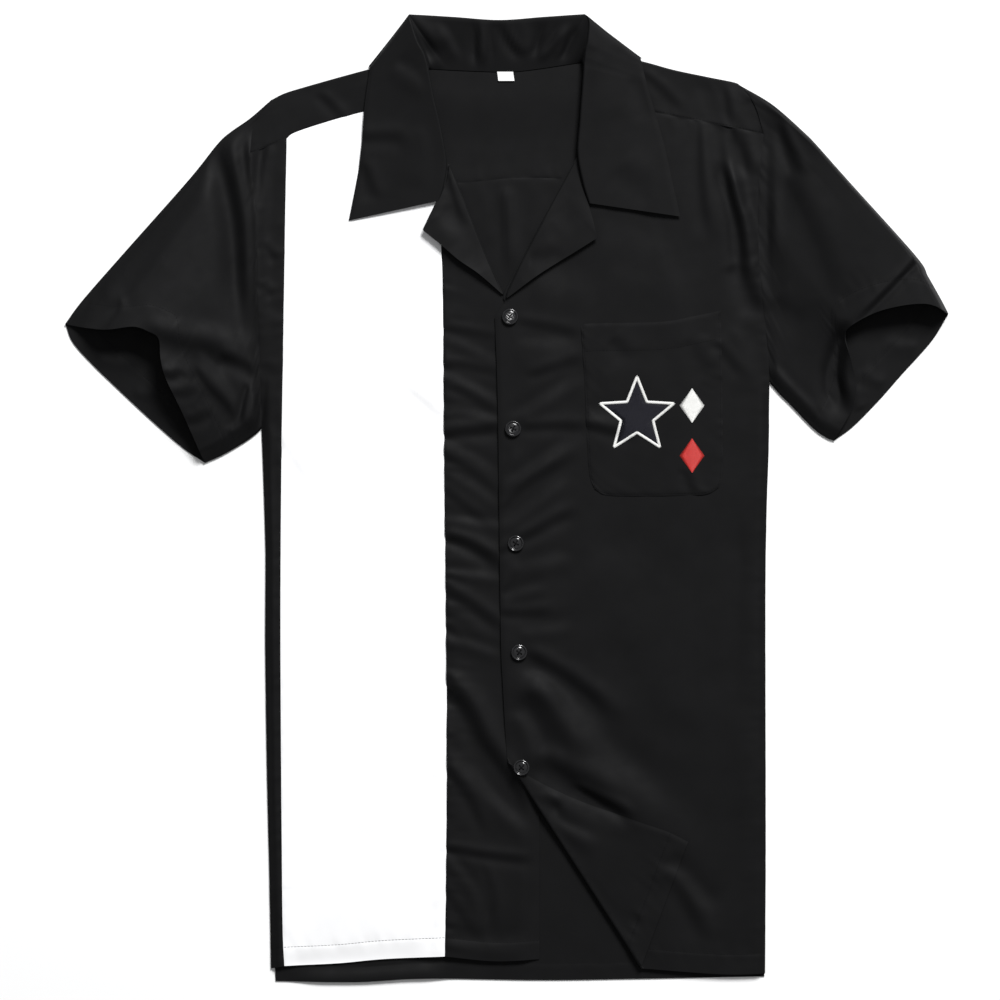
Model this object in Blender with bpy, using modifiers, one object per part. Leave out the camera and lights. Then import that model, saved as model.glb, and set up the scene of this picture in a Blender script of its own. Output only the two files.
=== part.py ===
"""A men's short-sleeved bowling shirt, size small, lying face up on a flat surface.

Frame: metres, +Z up. The shirt lies on z = 0, +Y runs from its hem to its collar and +X towards the
wearer's left side. The origin is on the surface, under the middle of the outline. Every table and
size below is in millimetres in that frame, and MM turns them into metres where a mesh is made.

Each cloth piece is a grid of points between its seam lines, raised to the height at which that piece
lies, and thickened by Solidify. Heights are those of the middle of the wall.
"""

import math

import bmesh
import bpy
import numpy as np
from mathutils import Vector

MM = 0.001

# Driving sizes
WALL = 1.1            # thickness of the cloth
SEAM = 0.4            # gap between two pieces at a seam
LAY = 1.6             # from the middle of one wall to the middle of the one lying on it
FLOOR = WALL / 2      # middle of a wall that rests on the surface
PILLOW = 0.9          # how far the front floats above the back between its folds
EDGE_EASE = 26.0      # the float dies away over this distance from sides and shoulders
FOLD_EDGE = 0.8       # radius of the turn where front and back are one cloth
ARC_STEPS = 4         # straight steps round such a turn
ARMHOLE_GAP = 0.6     # between sleeve and body, along X

# The sides of the body, from the hem up: x at each y. Above the armpit they are the armhole seams.
RIGHT_SIDE = [(-188.4, -376), (-189.4, -297), (-191, -210), (-192, -45), (-194.5, 15), (-196, 56)]
LEFT_SIDE = [(206.5, -380), (206, -230), (205.6, -80), (207.5, -9), (209.4, 40), (210, 93)]
RIGHT_ARMHOLE = [(-196, 56), (-197.6, 115), (-199.6, 160), (-201, 225), (-203, 276)]
LEFT_ARMHOLE = [(210, 93), (208.4, 119), (203.5, 165), (200.6, 215), (202, 260), (205.4, 291.4)]
RIGHT_ARMHOLE_TOP = [(-203, 276), (-199.4, 298), (-188, 318.6)]
LEFT_ARMHOLE_TOP = [(205.4, 291.4), (198.4, 314), (187, 329.8)]

# The shoulder folds, from armhole to neck
RIGHT_SHOULDER = [(-188, 318.6), (-178.2, 323.6), (-163.8, 328.2), (-131, 337.4), (-95, 347), (-67, 354.4)]
LEFT_SHOULDER = [(64, 357), (105, 350), (133, 342.6), (160, 337), (181.8, 332.6), (187, 329.8)]

# Seam lines across the shirt, from -X to +X
BACK_YOKE_SEAM = [(-201.7, 248), (-120, 250), (-37, 252.4), (4, 256), (44, 255.6), (120, 251), (201.5, 249)]
BACK_ARMHOLES = {
    "right": [(-196, 56), (-197.6, 115), (-199.6, 160), (-201, 225), BACK_YOKE_SEAM[0]],
    "left": [(210, 93), (208.4, 119), (203.5, 165), (200.6, 215), BACK_YOKE_SEAM[-1]],
}
BACK_NECK_SEAM = [(-64.2, 342.8), (-23, 340.8), (10, 340.8), (60.6, 348)]
RIGHT_YOKE_SEAM_SIDE = [(-203, 276), (-176, 287.6)]
RIGHT_YOKE_SEAM = [(-176, 287.6), (-167.8, 293), (-132.6, 304.2), (-98, 313), (-66.5, 321)]
LEFT_YOKE_SEAM = [(66.5, 321), (117, 309), (154.6, 301.4), (205.4, 291.4)]

# Seam lines up and down the right front
SIDE_SEAM_OF_CONTRAST = [(-177.8, -373.8), (-179.8, -345), (-180.8, -273), (-182.2, -109),
                         (-181.4, 15), (-179.8, 113), (-178.2, 206), (-176, 287.6)]
CENTRE_SEAM_OF_CONTRAST = [(-49.4, -366.2), (-48.4, -297), (-47.8, -225), (-48.6, -81), (-49.6, 0),
                           (-51, 158), (-53, 215), (-54.5, 271)]
RIGHT_FRONT_NECKLINE = [(-54.5, 271), (-62.5, 286), (-66.5, 321)]
LEFT_FRONT_NECKLINE = [(57.5, 275.5), (65.5, 292), (66.5, 321)]

# Front edges: the roll line of each lapel, then the button edge
RIGHT_ROLL = [(-1.4, 161), (-20, 203), (-34, 239), (-45.6, 266.5)]
LEFT_ROLL = [(-1.4, 156.5), (-0.6, 166.6), (26, 217), (56.7, 274)]
RIGHT_EDGE_X = 26.0
RIGHT_BREAK = (26.0, 128.0)
LEFT_EDGE = [(-1.2, -368.4), (-1.6, -349), (2, -312), (5.2, -273), (4.4, -238), (0.4, -208),
             (-3, -150), (-4.6, -113), (-6.2, 9), (-7.2, 80), (-9.4, 145)]

# Hems, from -X to +X
BACK_HEM = [(-184.8, -386.2), (-120, -386.9), (-66, -384.2), (26, -385.4), (100, -384.4), (206, -382.4)]
SIDE_HEM = [(-188.4, -376), (-177.8, -373.8)]
CONTRAST_HEM = [(-177.8, -373.8), (-135, -371.8), (-98, -368.4), (-49.4, -366.2)]
RIGHT_FRONT_HEM = [(-49.4, -366.2), (-10, -370), (26, -368.6)]
LEFT_FRONT_HEM = [(-1.2, -368.4), (107.4, -375.8), (170.6, -380.4), (206.5, -380)]

# The lower corner of the left front is folded out along this line
CREASE_START, CREASE_END = (0.6, -210.0), (107.4, -375.8)
CREASE_RADIUS = 1.4
CREASE_STEPS = 4
CREASE_SETTLES = 14.0     # the folded corner comes down to the cloth over this distance

# Where the left front lies on the right one, it is one layer higher
LAP_FULL, LAP_END, LAP_RISE = 28.5, 50.0, 1.8

# The fall of the collar passes under the yoke behind the neck and lifts it by one layer
FALL_DIP_X, FALL_DIP_Y, FALL_RISE, FALL_HALF_WIDTH = -3.0, 329.0, 18.0, 105.0
FALL_EASE, FALL_MARGIN = 42.0, 6.0

# Largest folds of the front: a soft ridge, or a trough where its height is negative
FOLDS_OF_FRONT = [
    # name,                      from x, y,      to x, y,      half width, height
    ("pull from button 2",       (-46, 76),      (-10, 52),    11, 1.5),
    ("pull below button 2",      (-46, 38),      (-12, 20),    12, 1.3),
    ("pull from button 3",       (-46, -14),     (-10, -40),   12, 1.6),
    ("drag above button 4",      (-44, -70),     (-10, -108),  13, 1.2),
    ("long drag to the lap",     (-46, -140),    (12, -214),   13, 2.2),
    ("drag beside it",           (-44, -196),    (-6, -262),   14, 1.8),
    ("drag at the hem",          (-40, -290),    (-6, -330),   15, 1.3),
    ("ridge to the corner",      (16, -140),     (118, -236),  20, 2.4),
    ("hollow over the corner",   (30, -176),     (96, -256),   14, -1.4),
    ("hollow from button 4",     (14, -128),     (72, -160),   12, -1.1),
    ("ridge at left armhole",    (170, 268),     (184, 168),   10, 2.2),
    ("second ridge there",       (150, 292),     (160, 200),   12, 1.3),
    ("pull to the pocket",       (20, 66),       (62, 40),     20, 1.0),
    ("pull under the pocket",    (24, -30),      (90, -60),    24, 0.9),
    ("soft ridge of the side",   (186, -40),     (188, -300),  12, 0.9),
    ("contrast panel, neck",     (-96, 210),     (-70, 130),   20, 1.2),
    ("contrast panel, centre",   (-70, 60),      (-130, -20),  24, 1.0),
    ("contrast panel, side",     (-170, 100),    (-140, 20),   18, 1.0),
    ("contrast panel, low",      (-60, -170),    (-140, -260), 26, 1.1),
    ("hollow at right armhole",  (-190, 262),    (-186, 150),  9, -1.0),
]

# Sleeves, in rows from shoulder to cuff. outer and under are the silhouettes, front and back the cuffs.
SLEEVES = {
    "sleeve_right": {
        "outer": [(-188, 318.6), (-204.6, 304.2), (-220.6, 293), (-231, 283.4), (-254.2, 254.6),
                  (-305.4, 197), (-339, 158.6), (-353.2, 139.4)],
        "under": [(-196, 56), (-201, 51), (-211.8, 43.4), (-227.8, 34.2), (-241.4, 28.2)],
        "front": [(-353.2, 139.4), (-333.4, 136.4), (-312, 134.8), (-292, 135), (-277.4, 124),
                  (-273.6, 100), (-261.4, 70.6), (-241.4, 28.2)],
        "back": [(-353.2, 139.4), (-343.8, 120.2), (-305.4, 81.8), (-263, 43.4), (-241.4, 28.2)],
        "lift": 22.0, "lift_at": 0.46, "lift_spread": 0.30, "lift_from": 0.40,
    },
    "sleeve_left": {
        "outer": [(187, 329.8), (206.6, 318.6), (219.4, 309), (237, 293), (246.6, 283.4),
                  (272.2, 254.6), (327, 193.6), (337, 177), (347.4, 158.6), (353.2, 147.4)],
        "under": [(210, 93), (218, 83.5), (227, 74.5), (245.4, 55.5), (255.8, 48.2), (261.6, 46)],
        "front": [(353.2, 147.4), (332.6, 154.8), (300, 150), (275, 137.8), (270.2, 128), (275.5, 106.2),
                  (279, 88.3), (274.5, 69), (261.6, 46)],
        "back": [(353.2, 147.4), (340, 126), (315.5, 98.6), (297.9, 78.6), (277.2, 57.6), (261.6, 46)],
        "lift": 23.0, "lift_at": 0.42, "lift_spread": 0.30, "lift_from": 0.40,
    },
}
SLEEVE_STATIONS = 12
SLEEVE_LOFT = 2.0         # how far the upper layer of a sleeve floats between its folds
SLEEVE_EDGE_SHARE = 0.16  # share of its width over which the upper layer comes down at each side
SLEEVE_ROOT_SHARE = 0.25  # share of its length over which it leaves the height of the front
GAPE_POWER = 1.4          # above 1, the cuff opens late
SHOULDER_GAP = 1.5        # the armhole gap at the shoulder fold, as a multiple of ARMHOLE_GAP
FOLDS_OF_SLEEVES = [
    # name,                      from x, y,      to x, y,      half width, height
    ("hollow by right armhole",  (-224, 276),    (-206, 150),  8, -1.8),
    ("ridge beside it",          (-240, 262),    (-216, 130),  12, 1.4),
    ("drag to right underarm",   (-262, 112),    (-212, 92),   12, -1.8),
    ("curl at right underarm",   (-244, 110),    (-224, 66),   10, 1.9),
    ("ridge at right cuff",      (-318, 176),    (-304, 146),  9, 2.4),
    ("hollow of left sleeve",    (228, 244),     (262, 150),   15, -1.6),
    ("ridge of left sleeve",     (256, 246),     (286, 170),   14, 1.2),
    ("crease at left cuff",      (322, 190),     (280, 148),   6, 1.8),
    ("drag to left underarm",    (222, 120),     (250, 72),    13, 1.4),
]

# The collar, in sections from the wearer's right point round the back neck to the left point.
# The stand runs from neck to roll and the fall from roll to edge. over is 1 where the fall lies on
# the stand as a leaf, -1 where it hangs behind, and 0 at the two corners between.
COLLAR = [
    # neck x, y,       neck up, roll x, y,     roll z, edge x, y,       edge z, over
    ((-58.6, 239.0),   1.9,     (-54.2, 237.6), 6.4,   (-126.2, 221.8), 6.2,    1),
    ((-55.4, 250.0),   1.9,     (-50.8, 248.6), 6.6,   (-121.6, 245.0), 6.0,    1),
    ((-52.6, 266.0),   1.9,     (-48.2, 267.6), 7.0,   (-118.2, 264.2), 5.8,    1),
    ((-61.6, 291.0),   0.0,     (-52.2, 293.6), 7.8,   (-115.6, 286.8), 5.8,    1),
    ((-65.6, 318.0),   0.0,     (-58.4, 320.6), 9.0,   (-114.0, 309.0), 6.0,    1),
    ((-61.4, 343.4),   0.8,     (-64.4, 350.6), 10.6,  (-111.4, 329.0), 6.2,    1),
    ((-56.0, 342.7),   0.0,     (-71.2, 364.6), 11.4,  (-109.6, 341.0), 6.4,    1),
    ((-50.0, 342.4),   0.0,     (-76.2, 379.6), 10.6,  (-109.8, 346.2), 6.2,    1),
    ((-46.0, 342.2),   0.0,     (-78.2, 385.3), 8.6,   (-110.9, 348.6), 3.0,    0),
    ((-40.0, 341.9),   0.0,     (-73.0, 385.8), 6.4,   (-107.6, 346.6), FLOOR,  -1),
    ((-24.0, 341.2),   0.0,     (-42.0, 384.0), 5.6,   (-62.0, 334.6),  FLOOR,  -1),
    ((-3.0, 340.9),    0.0,     (-6.0, 381.6),  5.4,   (-3.0, 329.0),   FLOOR,  -1),
    ((18.0, 341.4),    0.0,     (29.0, 384.0),  5.6,   (50.0, 335.6),   FLOOR,  -1),
    ((36.0, 343.8),    0.0,     (57.4, 385.9),  6.4,   (103.0, 351.6),  FLOOR,  -1),
    ((42.0, 344.9),    0.0,     (63.0, 385.6),  8.6,   (107.4, 354.0),  3.0,    0),
    ((46.4, 345.6),    0.0,     (65.6, 380.6),  10.6,  (107.6, 351.6),  6.2,    1),
    ((52.4, 346.7),    0.0,     (64.4, 365.0),  11.4,  (108.4, 345.6),  6.4,    1),
    ((57.8, 348.4),    0.8,     (62.4, 355.0),  10.6,  (110.4, 336.6),  6.2,    1),
    ((65.0, 325.0),    0.0,     (60.4, 327.0),  9.0,   (113.6, 324.8),  6.0,    1),
    ((63.6, 299.0),    0.0,     (58.4, 300.0),  7.8,   (119.2, 305.8),  5.8,    1),
    ((60.2, 276.0),    1.9,     (56.8, 275.6),  7.0,   (126.4, 279.6),  5.8,    1),
    ((65.6, 252.6),    1.9,     (61.0, 252.0),  6.6,   (132.6, 251.6),  6.0,    1),
    ((70.4, 236.4),    1.9,     (66.0, 235.6),  6.4,   (138.6, 225.0),  6.2,    1),
]
ROLL_RADIUS = 1.0
LEAF_SAG, BACK_SAG = 1.2, 2.6     # how soon the fall drops from the roll: as a leaf, and behind the neck
NECK_CORNER_Y = 340.0     # sections above it start from the back neck seam
STAND_STEPS, FALL_STEPS, COLLAR_STEPS = 2, 5, 2

# Lapels: the turned-out facing of each front. roll runs up the roll line, free up the other edge.
LAPELS = {
    "facing_right": {
        "roll": [(-5.6, 170.5), (-20, 203), (-34, 239), (-45.6, 266.5)],
        "free": [(-9.6, 166.5), (-52.6, 202), (-66.8, 214.6), (-54.4, 235.6)],
        "gorge": [(-54.4, 235.6), (-48.6, 251), (-45.6, 266.5)],
        "corner_share": 0.80,
    },
    "facing_left": {
        "roll": [(0.6, 167), (12, 190), (26, 217), (54, 268.5)],
        "free": [(3.6, 163), (26.6, 182.6), (72.8, 208), (66.0, 233.0)],
        "gorge": [(66.0, 233.0), (59.6, 250), (54, 268.5)],
        "corner_share": 0.76,
    },
}
LAPEL_ROWS, LAPEL_COLUMNS = 9, 5
LAPEL_LIFT = 2.1

# Patch pocket with rounded lower corners
POCKET_LEFT = [(70.4, 7.4), (66.4, 18), (64.6, 40), (62.4, 90), (59.4, 137.8)]
POCKET_RIGHT = [(169.4, 8.6), (172.4, 20), (172.6, 60), (172, 110), (171, 150)]
POCKET_BOTTOM = [(70.4, 7.4), (81, 2.4), (113, 1.8), (146, 2.4), (160, 3.4), (169.4, 8.6)]
POCKET_TOP = [(59.4, 137.8), (67.4, 139.7), (122.6, 141), (150, 145.6), (171, 150)]
POCKET_ROWS, POCKET_COLUMNS = 11, 9

BUTTONS = [
    # x,   y,      raised
    (2.6,  145,    0.0),
    (5.0,  55.4,   0.0),
    (7.4,  -35.8,  0.0),
    (9.8,  -123,   0.0),
    (12.2, -214.6, 2.5),    # it lies on the edge of the folded corner
]
# Turned profile of a button, from the middle of its dished face round the rim to its flat back
BUTTON_PROFILE = [(0, 1.4), (4.3, 1.5), (5.0, 2.2), (5.9, 2.2), (6.6, 1.4), (5.9, 0.2), (0, 0)]
BUTTON_SIDES = 18
BUTTON_GAP = 0.6          # from the cloth to the flat back of a button

LABEL_CENTRE, LABEL_SIZE = (-0.6, 335.4), (14.0, 9.6)

# Cells along the seams. Pieces that meet share these counts, and so the points of their seam.
ROWS_BELOW_ARMPIT, ROWS_AT_ARMHOLE, ROWS_OVER_YOKE = 27, 13, 3
BACK_ROWS_BELOW, BACK_ROWS_AT_ARMHOLE, BACK_YOKE_ROWS, BACK_COLUMNS = 9, 6, 5, 12
SIDE_COLUMNS, CONTRAST_COLUMNS, RIGHT_FRONT_COLUMNS, LEFT_FRONT_COLUMNS = 2, 8, 5, 13
NECK_COLUMNS, ROWS_BELOW_NECK = 9, 37
ROWS_ALONG_ROLL = 7               # up each front's roll line, below the neckline
RIGHT_BREAK_ROWS, LEFT_BREAK_ROWS = 2, 1    # from the button edge to the start of the roll line

BLACK, WHITE, LABEL_WHITE = (0.012, 0.012, 0.014), (0.86, 0.86, 0.88), (0.8, 0.8, 0.8)
GLOSSY_BLACK = (0.02, 0.02, 0.02)


# ---------------------------------------------------------------- curves and grids

def smooth(t):
    """0 below 0, 1 above 1, and an easy curve between."""
    t = np.clip(t, 0.0, 1.0)
    return t * t * (3 - 2 * t)


def curve_through(points, steps):
    """A smooth curve through the points, with that many steps between each two."""
    p = np.array(points, float)
    p = np.vstack([2 * p[0] - p[1], p, 2 * p[-1] - p[-2]])
    t = np.linspace(0, 1, steps, endpoint=False)[:, None]
    parts = []
    for a, b, c, d in zip(p, p[1:], p[2:], p[3:]):
        parts.append(0.5 * (2 * b + (c - a) * t + (2 * a - 5 * b + 4 * c - d) * t**2
                            + (3 * b - a - 3 * c + d) * t**3))
    return np.vstack([*parts, p[-2][None]])


def along(points, cells):
    """cells + 1 points, evenly spaced on the smooth curve through the given ones."""
    fine = curve_through(points, 16)
    travelled = np.concatenate([[0], np.cumsum(np.linalg.norm(np.diff(fine, axis=0), axis=1))])
    wanted = np.linspace(0, travelled[-1], cells + 1)
    return np.stack([np.interp(wanted, travelled, fine[:, k]) for k in range(fine.shape[1])], axis=1)


def joined(*stretches):
    """One seam from several stretches, each with the number of its cells, so that corners stay sharp."""
    parts = [along(points, cells) for points, cells in stretches]
    return np.vstack([parts[0], *[part[1:] for part in parts[1:]]])


def patch(left, right, bottom, top):
    """A grid of plan points between four edges. left and right run upwards, bottom and top to +X."""
    u = np.linspace(0, 1, len(bottom))[None, :, None]
    v = np.linspace(0, 1, len(left))[:, None, None]
    across = (1 - u) * left[:, None] + u * right[:, None]
    upwards = (1 - v) * bottom[None] + v * top[None]
    corners = (1 - v) * ((1 - u) * left[0] + u * right[0]) + v * ((1 - u) * left[-1] + u * right[-1])
    return across + upwards - corners


def drawn_in(grid, left=0.0, right=0.0, bottom=0.0, top=0.0):
    """The grid with its outer rows and columns moved inwards, as its half of the gap at each seam."""
    grid = grid.copy()
    for edge, inner, distance in ((np.s_[:, 0], np.s_[:, 1], left), (np.s_[:, -1], np.s_[:, -2], right),
                                  (np.s_[0], np.s_[1], bottom), (np.s_[-1], np.s_[-2], top)):
        inwards = grid[inner] - grid[edge]
        grid[edge] += distance * inwards / np.linalg.norm(inwards, axis=-1, keepdims=True)
    return grid


def at_height(grid, height):
    """Plan points raised to height(x, y)."""
    return np.dstack([grid, height(grid[..., 0], grid[..., 1])])


# ---------------------------------------------------------------- heights

def line_x(points, y):
    """x of a side line at each y."""
    p = np.array(sorted(points, key=lambda point: point[1]), float)
    return np.interp(y, p[:, 1], p[:, 0])


def line_y(points, x):
    """y of a cross line at each x."""
    p = np.array(sorted(points), float)
    return np.interp(x, p[:, 0], p[:, 1])


def ridges(table, x, y):
    """The sum of soft ridges and troughs, each round a straight line."""
    total = np.zeros(np.shape(x))
    for _, (x0, y0), (x1, y1), half_width, height in table:
        length2 = (x1 - x0) ** 2 + (y1 - y0) ** 2
        t = np.clip(((x - x0) * (x1 - x0) + (y - y0) * (y1 - y0)) / length2, 0, 1)
        away2 = (x - x0 - t * (x1 - x0)) ** 2 + (y - y0 - t * (y1 - y0)) ** 2
        total = total + height * np.exp(-away2 / half_width**2)
    return total


def back_height(x, y):
    """The back lies flat, and rises by one layer where the fall of the collar is under it."""
    fall_edge = FALL_DIP_Y + FALL_RISE * ((x - FALL_DIP_X) / FALL_HALF_WIDTH) ** 2
    return FLOOR + LAY * smooth((y - fall_edge + FALL_EASE + FALL_MARGIN) / FALL_EASE)


def from_edges(x, y):
    """How far a point of the front is from the nearest side, armhole or shoulder fold."""
    right = x - line_x(RIGHT_SIDE + RIGHT_ARMHOLE[1:] + RIGHT_ARMHOLE_TOP[1:], y)
    left = line_x(LEFT_SIDE + LEFT_ARMHOLE[1:] + LEFT_ARMHOLE_TOP[1:], y) - x
    shoulder = line_y(RIGHT_SHOULDER + LEFT_SHOULDER, x) - y
    return np.minimum(np.minimum(right, left), shoulder)


def front_height(x, y):
    """The front lies on the back at its edges and floats above it between them."""
    floating = np.maximum(0, PILLOW + ridges(FOLDS_OF_FRONT, x, y))
    return back_height(x, y) + LAY + floating * smooth(from_edges(x, y) / EDGE_EASE)


def left_front_height(x, y):
    """The left front, one layer higher where it laps over the right front."""
    lap = 1 - smooth((x - LAP_FULL) / (LAP_END - LAP_FULL))
    return front_height(x, y) + LAP_RISE * lap


def normal_of(height, x, y):
    """Unit normal of a height function."""
    step = 0.5
    slope_x = (height(x + step, y) - height(x - step, y)) / (2 * step)
    slope_y = (height(x, y + step) - height(x, y - step)) / (2 * step)
    return Vector((-slope_x, -slope_y, 1)).normalized()


# ---------------------------------------------------------------- objects

def clear_scene():
    for obj in list(bpy.data.objects):
        bpy.data.objects.remove(obj)


def material(name, colour, roughness):
    made = bpy.data.materials.new(name)
    made.use_nodes = True
    shader = made.node_tree.nodes["Principled BSDF"]
    shader.inputs["Base Color"].default_value = (*colour, 1)
    shader.inputs["Roughness"].default_value = roughness
    shader.inputs["Metallic"].default_value = 0.0
    return made


def add_object(name, mesh, finish):
    obj = bpy.data.objects.new(name, mesh)
    mesh.materials.append(finish)
    SHIRT.objects.link(obj)
    return obj


def grid_mesh(points):
    """A bmesh grid laid out on rows of points in millimetres."""
    rows, columns = points.shape[:2]
    work = bmesh.new()
    bmesh.ops.create_grid(work, x_segments=columns - 1, y_segments=rows - 1, size=1)
    work.verts.ensure_lookup_table()
    for vertex, point in zip(work.verts, points.reshape(-1, points.shape[2])):
        vertex.co = Vector((*point, 0.0)[:3]) * MM
    return work


def cloth(name, work, finish):
    """A cloth piece from an open surface: shaded smooth and thickened both ways by Solidify."""
    bmesh.ops.recalc_face_normals(work, faces=work.faces)
    mesh = bpy.data.meshes.new(name)
    work.to_mesh(mesh)
    work.free()
    mesh.shade_smooth()
    obj = add_object(name, mesh, finish)
    wall = obj.modifiers.new("wall", "SOLIDIFY")
    wall.thickness = WALL * MM
    wall.offset = 0.0
    return obj


def turn(start, start_height, end_height, inwards, first=1):
    """The points of a half turn between two layers of one cloth, whose outer face ends at start."""
    middle = (start_height + end_height) / 2
    rise = (end_height - start_height) / 2
    points = []
    for k in range(first, ARC_STEPS):
        angle = math.pi * (k / ARC_STEPS - 0.5)
        reach = (WALL / 2 + FOLD_EDGE * (1 - math.cos(angle))) * inwards
        points.append(np.concatenate([start + reach, (middle + rise * math.sin(angle))[..., None]], axis=-1))
    return points


def direction(points):
    """Unit vector from the first point to the second."""
    step = points[1] - points[0]
    return step / np.linalg.norm(step)


# ---------------------------------------------------------------- body

def body_seams():
    """The seam lines that two or more pieces share, as points from the hem up."""
    rows = ROWS_BELOW_ARMPIT + ROWS_AT_ARMHOLE
    return {
        "right_side": joined((RIGHT_SIDE, ROWS_BELOW_ARMPIT), (RIGHT_ARMHOLE, ROWS_AT_ARMHOLE)),
        "left_side": joined((LEFT_SIDE, ROWS_BELOW_ARMPIT), (LEFT_ARMHOLE, ROWS_AT_ARMHOLE)),
        "right_top": along(RIGHT_ARMHOLE_TOP, ROWS_OVER_YOKE),
        "left_top": along(LEFT_ARMHOLE_TOP, ROWS_OVER_YOKE),
        "contrast_side": along(SIDE_SEAM_OF_CONTRAST, rows),
        "contrast_centre": along(CENTRE_SEAM_OF_CONTRAST, ROWS_BELOW_NECK),
        "contrast_neck": along(RIGHT_FRONT_NECKLINE, rows - ROWS_BELOW_NECK),
        "right_back_armhole": along(BACK_ARMHOLES["right"], BACK_ROWS_AT_ARMHOLE),
        "left_back_armhole": along(BACK_ARMHOLES["left"], BACK_ROWS_AT_ARMHOLE),
        "right_back_top": along([BACK_YOKE_SEAM[0], *RIGHT_ARMHOLE_TOP], BACK_YOKE_ROWS),
        "left_back_top": along([BACK_YOKE_SEAM[-1], *LEFT_ARMHOLE_TOP], BACK_YOKE_ROWS),
    }


def make_fronts(seams, black, white):
    half = SEAM / 2
    side = patch(seams["right_side"], seams["contrast_side"], along(SIDE_HEM, SIDE_COLUMNS),
                 along(RIGHT_YOKE_SEAM_SIDE, SIDE_COLUMNS))
    side = drawn_in(side, right=half, top=half)
    cloth("side_front", grid_mesh(at_height(side, front_height)), black)

    right_line = np.vstack([seams["contrast_centre"], seams["contrast_neck"][1:]])
    contrast = patch(seams["contrast_side"], right_line, along(CONTRAST_HEM, CONTRAST_COLUMNS),
                     along(RIGHT_YOKE_SEAM, CONTRAST_COLUMNS))
    contrast = drawn_in(contrast, left=half, right=half, top=half)
    cloth("contrast_panel", grid_mesh(at_height(contrast, front_height)), white)

    straight_rows = ROWS_BELOW_NECK - ROWS_ALONG_ROLL - RIGHT_BREAK_ROWS
    edge = joined(([(RIGHT_EDGE_X, RIGHT_FRONT_HEM[-1][1]), RIGHT_BREAK], straight_rows),
                  ([RIGHT_BREAK, RIGHT_ROLL[0]], RIGHT_BREAK_ROWS), (RIGHT_ROLL, ROWS_ALONG_ROLL))
    centre = patch(seams["contrast_centre"], edge, along(RIGHT_FRONT_HEM, RIGHT_FRONT_COLUMNS),
                   along([CENTRE_SEAM_OF_CONTRAST[-1], RIGHT_ROLL[-1]], RIGHT_FRONT_COLUMNS))
    centre = drawn_in(centre, left=half)
    cloth("right_front", grid_mesh(at_height(centre, front_height)), black)


def fold_corner(point):
    """Where a point of the flat left front comes to lie: its plan position and its height."""
    start, end = np.array(CREASE_START), np.array(CREASE_END)
    down = direction([start, end])
    out = np.array([down[1], -down[0]])              # towards the corner, away from the shirt
    start = start - out * (CREASE_RADIUS + WALL / 2)
    turned = math.pi * CREASE_RADIUS
    past = float((point - start) @ out)
    line_point = point - past * out
    if past <= 0:
        return (*point, float(left_front_height(*point)))
    if past < turned:
        angle = past / CREASE_RADIUS
        spot = line_point + out * CREASE_RADIUS * math.sin(angle)
        return (*spot, float(left_front_height(*line_point)) + CREASE_RADIUS * (1 - math.cos(angle)))
    beyond = past - turned
    spot = line_point - out * beyond
    settled = LAY + (2 * CREASE_RADIUS - LAY) * math.exp(-beyond / CREASE_SETTLES)
    return (*spot, float(left_front_height(*spot)) + settled)


def make_left_front(seams, black):
    """The left front is cut flat, and then its lower corner is folded out over itself."""
    rows = ROWS_BELOW_ARMPIT + ROWS_AT_ARMHOLE
    edge = joined((LEFT_EDGE, ROWS_BELOW_NECK - ROWS_ALONG_ROLL - LEFT_BREAK_ROWS),
                  ([LEFT_EDGE[-1], LEFT_ROLL[0]], LEFT_BREAK_ROWS), (LEFT_ROLL, ROWS_ALONG_ROLL),
                  ([LEFT_ROLL[-1], *LEFT_FRONT_NECKLINE[1:]], rows - ROWS_BELOW_NECK))
    flat = patch(edge, seams["left_side"], along(LEFT_FRONT_HEM, LEFT_FRONT_COLUMNS),
                 along(LEFT_YOKE_SEAM, LEFT_FRONT_COLUMNS))
    work = grid_mesh(drawn_in(flat, top=SEAM / 2))

    start, end = np.array(CREASE_START), np.array(CREASE_END)
    down = direction([start, end])
    out = np.array([down[1], -down[0]])
    for k in range(CREASE_STEPS + 1):
        place = start + out * (math.pi * CREASE_RADIUS * k / CREASE_STEPS - CREASE_RADIUS - WALL / 2)
        bmesh.ops.bisect_plane(work, geom=work.verts[:] + work.edges[:] + work.faces[:], dist=2e-4,
                               plane_co=(*place * MM, 0), plane_no=(*out, 0))
    for vertex in work.verts:
        vertex.co = Vector(fold_corner(np.array(vertex.co[:2]) / MM)) * MM
    cloth("left_front", work, black)


def make_back(seams, black):
    """The back panel, flat on the surface."""
    right = joined(([BACK_HEM[0], *RIGHT_SIDE[1:]], BACK_ROWS_BELOW),
                   (BACK_ARMHOLES["right"], BACK_ROWS_AT_ARMHOLE))
    left = joined(([BACK_HEM[-1], *LEFT_SIDE[1:]], BACK_ROWS_BELOW),
                  (BACK_ARMHOLES["left"], BACK_ROWS_AT_ARMHOLE))
    panel = patch(right, left, along(BACK_HEM, BACK_COLUMNS), along(BACK_YOKE_SEAM, BACK_COLUMNS))
    cloth("back", grid_mesh(at_height(drawn_in(panel, top=SEAM / 2), back_height)), black)


def over_shoulder(first_row, armhole, seam, armhole_first):
    """Rows of the yoke from the turn of one shoulder down to its front yoke seam, both ends included.

    armhole_first is true where the rows start from the armhole and end at the neckline.
    """
    cells = len(armhole) - 1
    if armhole_first:
        return patch(armhole, along([first_row[-1], seam[-1]], cells), first_row, seam)
    return patch(along([first_row[0], seam[0]], cells), armhole, first_row, seam)


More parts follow.
